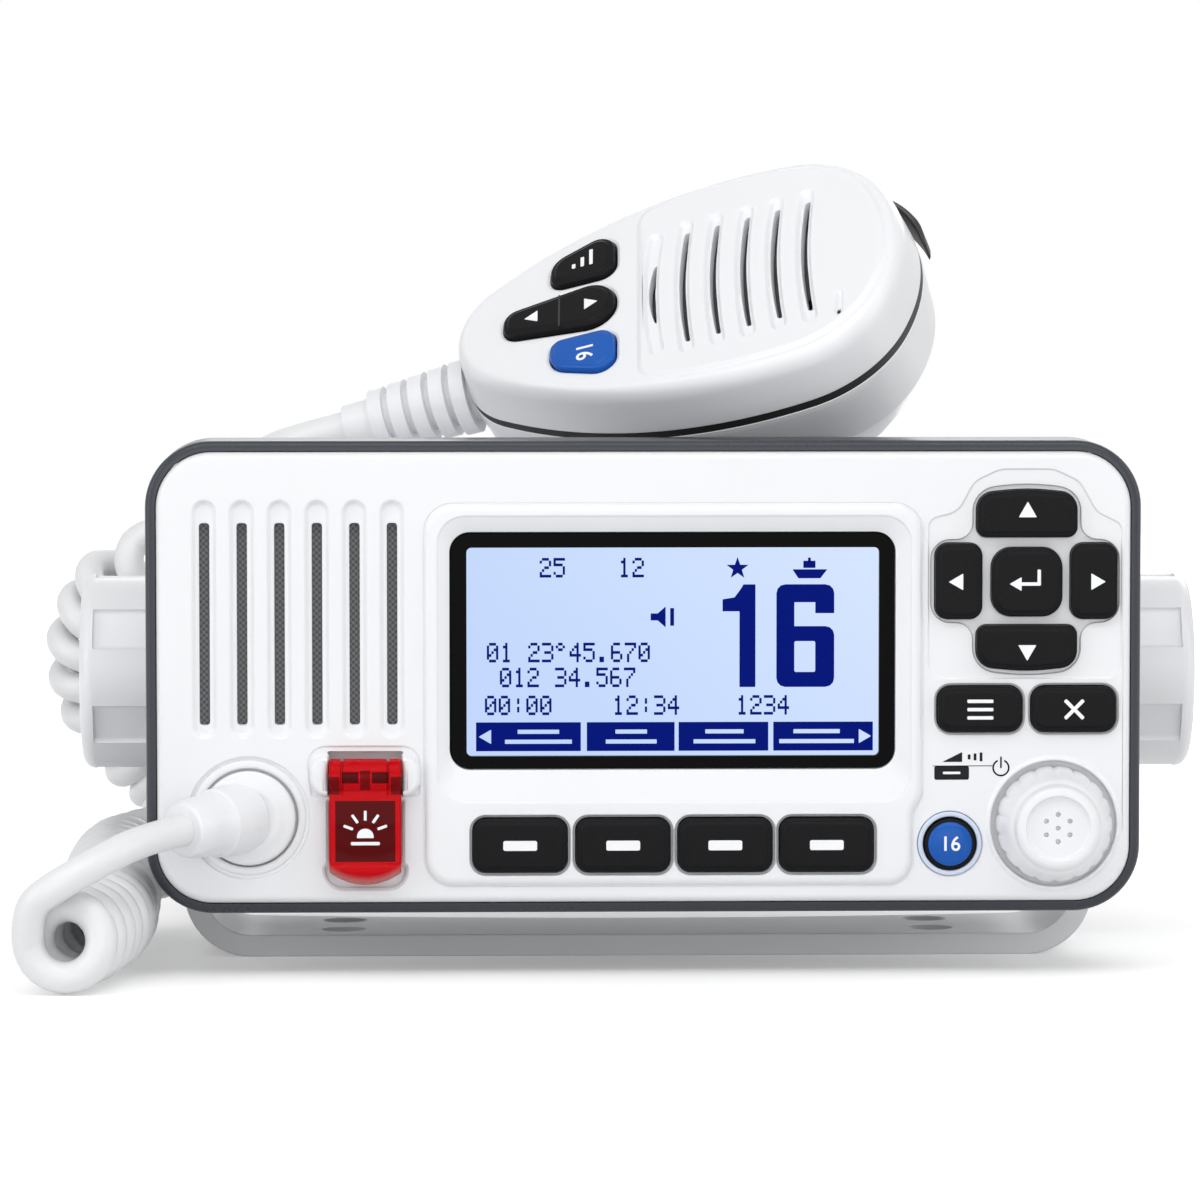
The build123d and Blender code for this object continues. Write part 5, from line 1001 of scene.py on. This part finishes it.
def bowSlot(x, middle, half, bow, width, steps=14, capSteps=6):
    # two arcs about one centre, joined by round caps
    radius = (half * half + bow * bow) / (2 * bow)
    cx, reach = x - bow + radius, asin((half - width / 2) / radius)

    def outline(inset=0.0):
        w = width / 2 - inset
        at = lambda a, r: (cx + r * cos(a), middle + r * sin(a))

        def cap(end, first):
            ex, ey = at(end, radius)
            turns = [first + pi * k / capSteps for k in range(1, capSteps)]
            return [(ex + w * cos(a), ey + w * sin(a)) for a in turns]
        near = [at(pi + reach - 2 * reach * k / steps, radius - w) for k in range(steps + 1)]
        far = [at(pi - reach + 2 * reach * k / steps, radius + w) for k in range(steps + 1)]
        return near + cap(pi - reach, -reach) + far + cap(pi + reach, pi + reach)
    return outline


def makeMicShell():
    form, m = Form(mic), micParts
    face, flat, back = m["face"], m["flat"], m["face"] - m["wall"]
    bottom, lip, seam = m["seam"]
    rim, edge = form.mould(egg, (0.12, seam), (0.0, seam + 0.15), (0.04, 3.0), (0.25, 5.0), (0.6, 8.4),
                           ("steep", flat, face, 12), (flat + 0.1, face))
    inner, floor = form.mould(egg, (m["wall"], seam), (m["wall"] + 0.5, back))
    form.bridge(inner, rim)
    form.backs.append(floor)
    holes = [form.through(outline, (-1.0, face), (-0.95, face), ("ease", -0.38, face - 0.25, 5), (-0.3, face - 0.4),
                          (-0.3, back)) for outline in micKeys.values()]
    top = face + m["tray"]["rise"]
    first, trayTop = form.mould(trayOutline, (-0.2, face), (-0.15, face), ("ease", 1.0, top, 8), (1.1, top))
    holes.append(first)
    inTray, slots = [trayTop], m["slots"]
    for i in range(slots["count"]):
        x = slots["first"] + i * slots["pitch"]
        (half, width), (slotHalf, slotWidth) = slots["groove"], slots["slot"]
        if i == 0:
            half, slotHalf = half - 1.5, 8.0
        first, low = form.mould(bowSlot(x, slots["y"], half, slots["bow"], width), (-0.2, top), (-0.15, top),
                                ("ease", 0.8, top - 0.9, 7), (0.85, top - 0.9))
        form.fill([low, form.through(bowSlot(x, slots["y"] + 0.6, slotHalf, slots["bow"], slotWidth),
                                     (-0.02, top - 0.9), (0.05, top - 1.0), (0.05, back))])
        inTray.append(first)
    # pinhole in a short tapered groove, with the capsule behind it
    px, py = m["pinhole"]
    dent = roundedPoly([(px - 0.5, py - 1.0, 0.9), (px + 1.2, py - 1.0, 0.9), (px + 1.6, py + 5.2, 1.0),
                        (px + 0.2, py + 5.4, 0.8)])
    first, low = form.mould(dent, (-0.2, top), (-0.15, top), ("ease", 0.45, top - 0.6, 5), (0.5, top - 0.6))
    form.fill([low, form.through(circle(px + 0.4, py + 0.1, 0.75, 20), (0.0, top - 0.6), (0.0, back))])
    form.fill(inTray + [first])
    form.fill([edge] + holes)
    form.fill(form.backs, inward=True)
    form.finish("micFront", [whitePlastic], "radio", "mic_front_shell", "cover_white", 34.0)
    capsule = Form(mic)
    capsule.plug(circle(px + 0.4, py + 0.1, 0.72, 20), (0.0, top - 1.7), (0.0, top - 0.85))
    capsule.finish("micCapsule", [blackRubber], "radio", None, "pad_rubber")

    # lip of the lower half and the black seal above it
    for name, material, node, slot, parts in (
            ("micLip", whitePlastic, None, "cover_white",
             [(1.6, bottom), (0.0, bottom), (0.0, lip - 0.15), (0.12, lip), (1.6, lip)]),
            ("micSeal", blackRubber, "mic_seal", "pad_rubber",
             [(1.9, lip), (0.08, lip), (0.04, (lip + seam) / 2), (0.08, seam), (1.9, seam)])):
        ring = Form(mic)
        first, last = ring.mould(egg, *parts)
        ring.bridge(last, first)
        ring.finish(name, [material], "radio", node, slot, 34.0)


def makeMicKeys():
    top, root = micParts["face"] + 1.25, micParts["face"] - micParts["wall"]
    for node, name, material, slot in (("mic_level_key", "micLevelCap", blackKey, "key_black"),
                                       ("mic_channel_key", "micChannelCap", blueKey, "key_blue"),
                                       ("mic_rocker", "micRockerCap", blackKey, "key_black")):
        form = Form(mic)
        form.plug(micKeys[node], (0.0, root), (0.0, top - 1.0), ("steep", 0.6, top - 0.3, 6), (0.65, top - 0.3),
                  ("ease", 1.5, top, 5), (1.6, top))
        form.slot = 1
        if node == "mic_rocker":
            form.printed(triangle(-26.3, 0.0, 1.75, 180), top)
            form.printed(triangle(-15.4, 0.0, 1.75, 0), top)
            form.slot = 2
            form.printed(roundedRect(-21.2, 0.0, 0.35, 8.6, 0.1, 2), top, 0.02)
        elif node == "mic_channel_key":
            form.lettered("16", -16.3, -13.2, 4.6, top, -90)
        else:
            for k, long in enumerate((4.2, 2.6, 1.2)):
                form.printed(roundedRect(-15.0 - 1.7 * k, 12.9 - (4.2 - long) / 2, 0.7, long, 0.15, 3), top)
        form.finish(name, [material, keyLegend, blackRubber], node, node, slot)


def makeLever():
    # follows the shell's outline at rest, swung out about its bending end
    lever, form = micParts["lever"], Form(mic)
    thick, low, high = lever["thick"], lever["low"], lever["high"]
    (px, py), swing = lever["pivot"], radians(lever["swing"])
    c, s = cos(swing), sin(swing)
    section, taper, r = [], 0.9, 0.35
    for cx, cz, start in ((thick - taper, low + taper, -90), (thick - taper, high - taper, 0),
                          (r, high - r, 90), (r, low + r, 180)):
        turns = [radians(start + a) for a in (0, 22.5, 45, 67.5, 90)]
        section += [(cx + r * cos(a), cz + r * sin(a)) for a in turns]
    shell = egg(-0.3)
    run = [i for i in range(len(shell) // 2) if shell[i][1] > 9.2 and shell[i][0] > px]
    rings = []
    for n, i in enumerate(run):
        (ax, ay), (bx, by) = shell[i - 1], shell[i + 1]
        t = Vector((bx - ax, by - ay)).normalized()
        squash = dict(enumerate((0.35, 0.75, 0.93))).get(min(n, len(run) - 1 - n), 1.0)      # thinner at both ends
        ring = []
        for reach, height in section:
            dx, dy = shell[i][0] + t.y * reach * squash - px, shell[i][1] - t.x * reach * squash - py
            ring.append(form.bm.verts.new(mic(px + dx * c - dy * s, py + dx * s + dy * c,
                                              low + (height - low) * (0.5 + 0.5 * squash))))
        rings.append(ring)
    form.loft(rings)
    form.finish("talkLever", [blackRubber], "talk_lever", "talk_lever", "key_black", 45.0)


makeMicShell()
makeMicKeys()
makeLever()
print("hand microphone made")

steel = Shade("steel")
brushed = steel.noise(1400.0, 2.0)
steel.set(Base_Color=steel.blend(steel.noise(70.0), (0.56, 0.56, 0.57), (0.66, 0.66, 0.67)), Metallic=1.0,
          Roughness=(0.22 + brushed * 0.14).clamped(), Normal=steel.bump(brushed, 0.1, 0.00003))
nodeLooks = {       # materials of the CAD nodes that stay
    whitePlastic: ["panel_back", "mic_rear_shell", "mic_socket", "clamp_knob_left", "clamp_knob_right", "hanger_stud",
                   "mic_boot"],
    paintedAlloy: ["bracket", "chassis", "chassis_cover"],
    blackRubber: ["bracket_pads", "chassis_seal", "cable_gland"],
    printedBoard: ["main_board", "front_board", "mic_board"],
    darkPart: ["flap_pin", "board_modules", "key_switches", "encoder", "speaker", "mic_speaker"],
    speakerCloth: ["speaker_net"],
    steel.material: ["clamp_stud_left", "clamp_stud_right", "chassis_screws", "mic_screws", "volume_shaft",
                     "volume_plunger", "antenna_jack"],
}
for material, names in nodeLooks.items():
    for name in names:
        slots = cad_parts[name].data.materials
        slots.clear()
        slots.append(material)
print("looks given to the remaining nodes")

stage = {"floor": 1.6, "floorLift": 0.5, "nearFloor": 0.22, "floorFade": 1.6, "world": 0.36}
lamps = {           # place, size and power
    "frontSoftbox": ((0.0, -1.4, 0.34), (1.6, 0.6), 4.5), "topSoftbox": ((0.0, -0.3, 0.48), (0.7, 0.35), 1.1),
    "leftSoftbox": ((-0.75, -0.4, 0.3), (0.3, 0.6), 1.5), "rightSoftbox": ((0.8, -0.3, 0.35), (0.3, 0.6), 1.1),
    "rearSoftbox": ((0.25, 1.0, 0.6), (0.9, 0.5), 3.0), "edgeStrip": ((0.0, -0.5, 0.62), (0.7, 0.005), 0.45),
}
lampAim = Vector((0, -0.02, 0.06))
view = {"aim": (0, -0.052, 0.0542), "distance": 1.2, "azimuth": 1.75, "elevation": 4.0, "sensor": 36.0,
        "width": 1200, "centre": (600, 592)}      # picture width and centre on the drawing grid


def directRays(tree):
    # 1 for what the camera sees straight, in gloss or through glass
    path = tree.nodes.new("ShaderNodeLightPath")
    seen = path.outputs["Is Camera Ray"]
    for kind in ("Is Glossy Ray", "Is Transmission Ray"):
        larger = tree.nodes.new("ShaderNodeMath")
        larger.operation = "MAXIMUM"
        tree.links.new(seen, larger.inputs[0])
        tree.links.new(path.outputs[kind], larger.inputs[1])
        seen = larger.outputs[0]
    return seen


def makeFloor():
    mesh = bpy.data.meshes.new("floor")
    s = stage["floor"]
    mesh.from_pydata([(-s, -s, 0), (s, -s, 0), (s, s, 0), (-s, s, 0)], [], [(0, 1, 2, 3)])
    floor = bpy.data.objects.new("floor", mesh)
    bpy.context.collection.objects.link(floor)
    pale = Shade("paleFloor")
    pale.set(Base_Color=(0.9, 0.9, 0.9), Roughness=0.8, Specular_IOR_Level=0.1)
    away = pale.node("VectorMath", {"operation": "LENGTH"}, {0: pale.place()}, output=1)
    fade = (stage["floorLift"] + (away - stage["nearFloor"]) * stage["floorFade"]).clamped()
    lift = Socket(pale, directRays(pale.tree)) * fade
    pale.set(Emission_Color=pale.blend(lift, (0.0, 0.0, 0.0), (1.0, 1.0, 1.0)), Emission_Strength=1.0)
    mesh.materials.append(pale.material)


def makeLight():
    world = bpy.data.worlds.new("studio")
    world.use_nodes = True
    tree = world.node_tree
    background = tree.nodes["Background"]
    background.inputs["Color"].default_value = (1, 1, 1, 1)
    strength = tree.nodes.new("ShaderNodeMix")
    tree.links.new(directRays(tree), strength.inputs[0])
    strength.inputs[2].default_value = stage["world"]
    strength.inputs[3].default_value = 1.0
    tree.links.new(strength.outputs[0], background.inputs["Strength"])
    bpy.context.scene.world = world
    for name, (place, size, power) in lamps.items():
        data = bpy.data.lights.new(name, "AREA")
        data.shape, data.size, data.size_y, data.energy = "RECTANGLE", *size, power
        lamp = bpy.data.objects.new(name, data)
        lamp.location = place
        lamp.rotation_euler = (lampAim - Vector(place)).to_track_quat("-Z", "Y").to_euler()
        bpy.context.collection.objects.link(lamp)


def makeCamera():
    data = bpy.data.cameras.new("camera")
    distance, width, (cx, cy) = view["distance"], view["width"], view["centre"]
    data.sensor_fit, data.sensor_width = "HORIZONTAL", view["sensor"]
    data.lens = grid * distance / mm / width * view["sensor"]
    data.shift_x, data.shift_y, data.clip_start = (cx - gridX) / width, (gridY - cy) / width, 0.05
    azimuth, elevation = radians(view["azimuth"]), radians(view["elevation"])
    forward = Vector((sin(azimuth) * cos(elevation), cos(azimuth) * cos(elevation), -sin(elevation)))
    right = Vector((cos(azimuth), -sin(azimuth), 0))
    turn = Matrix((right, right.cross(forward), -forward)).transposed().to_4x4()
    camera = bpy.data.objects.new("camera", data)
    camera.matrix_world = Matrix.Translation(Vector(view["aim"]) - forward * distance) @ turn
    bpy.context.collection.objects.link(camera)
    bpy.context.scene.camera = camera
    bpy.context.scene.view_settings.view_transform = "Standard"


makeFloor()
makeLight()
makeCamera()
print("stage ready")
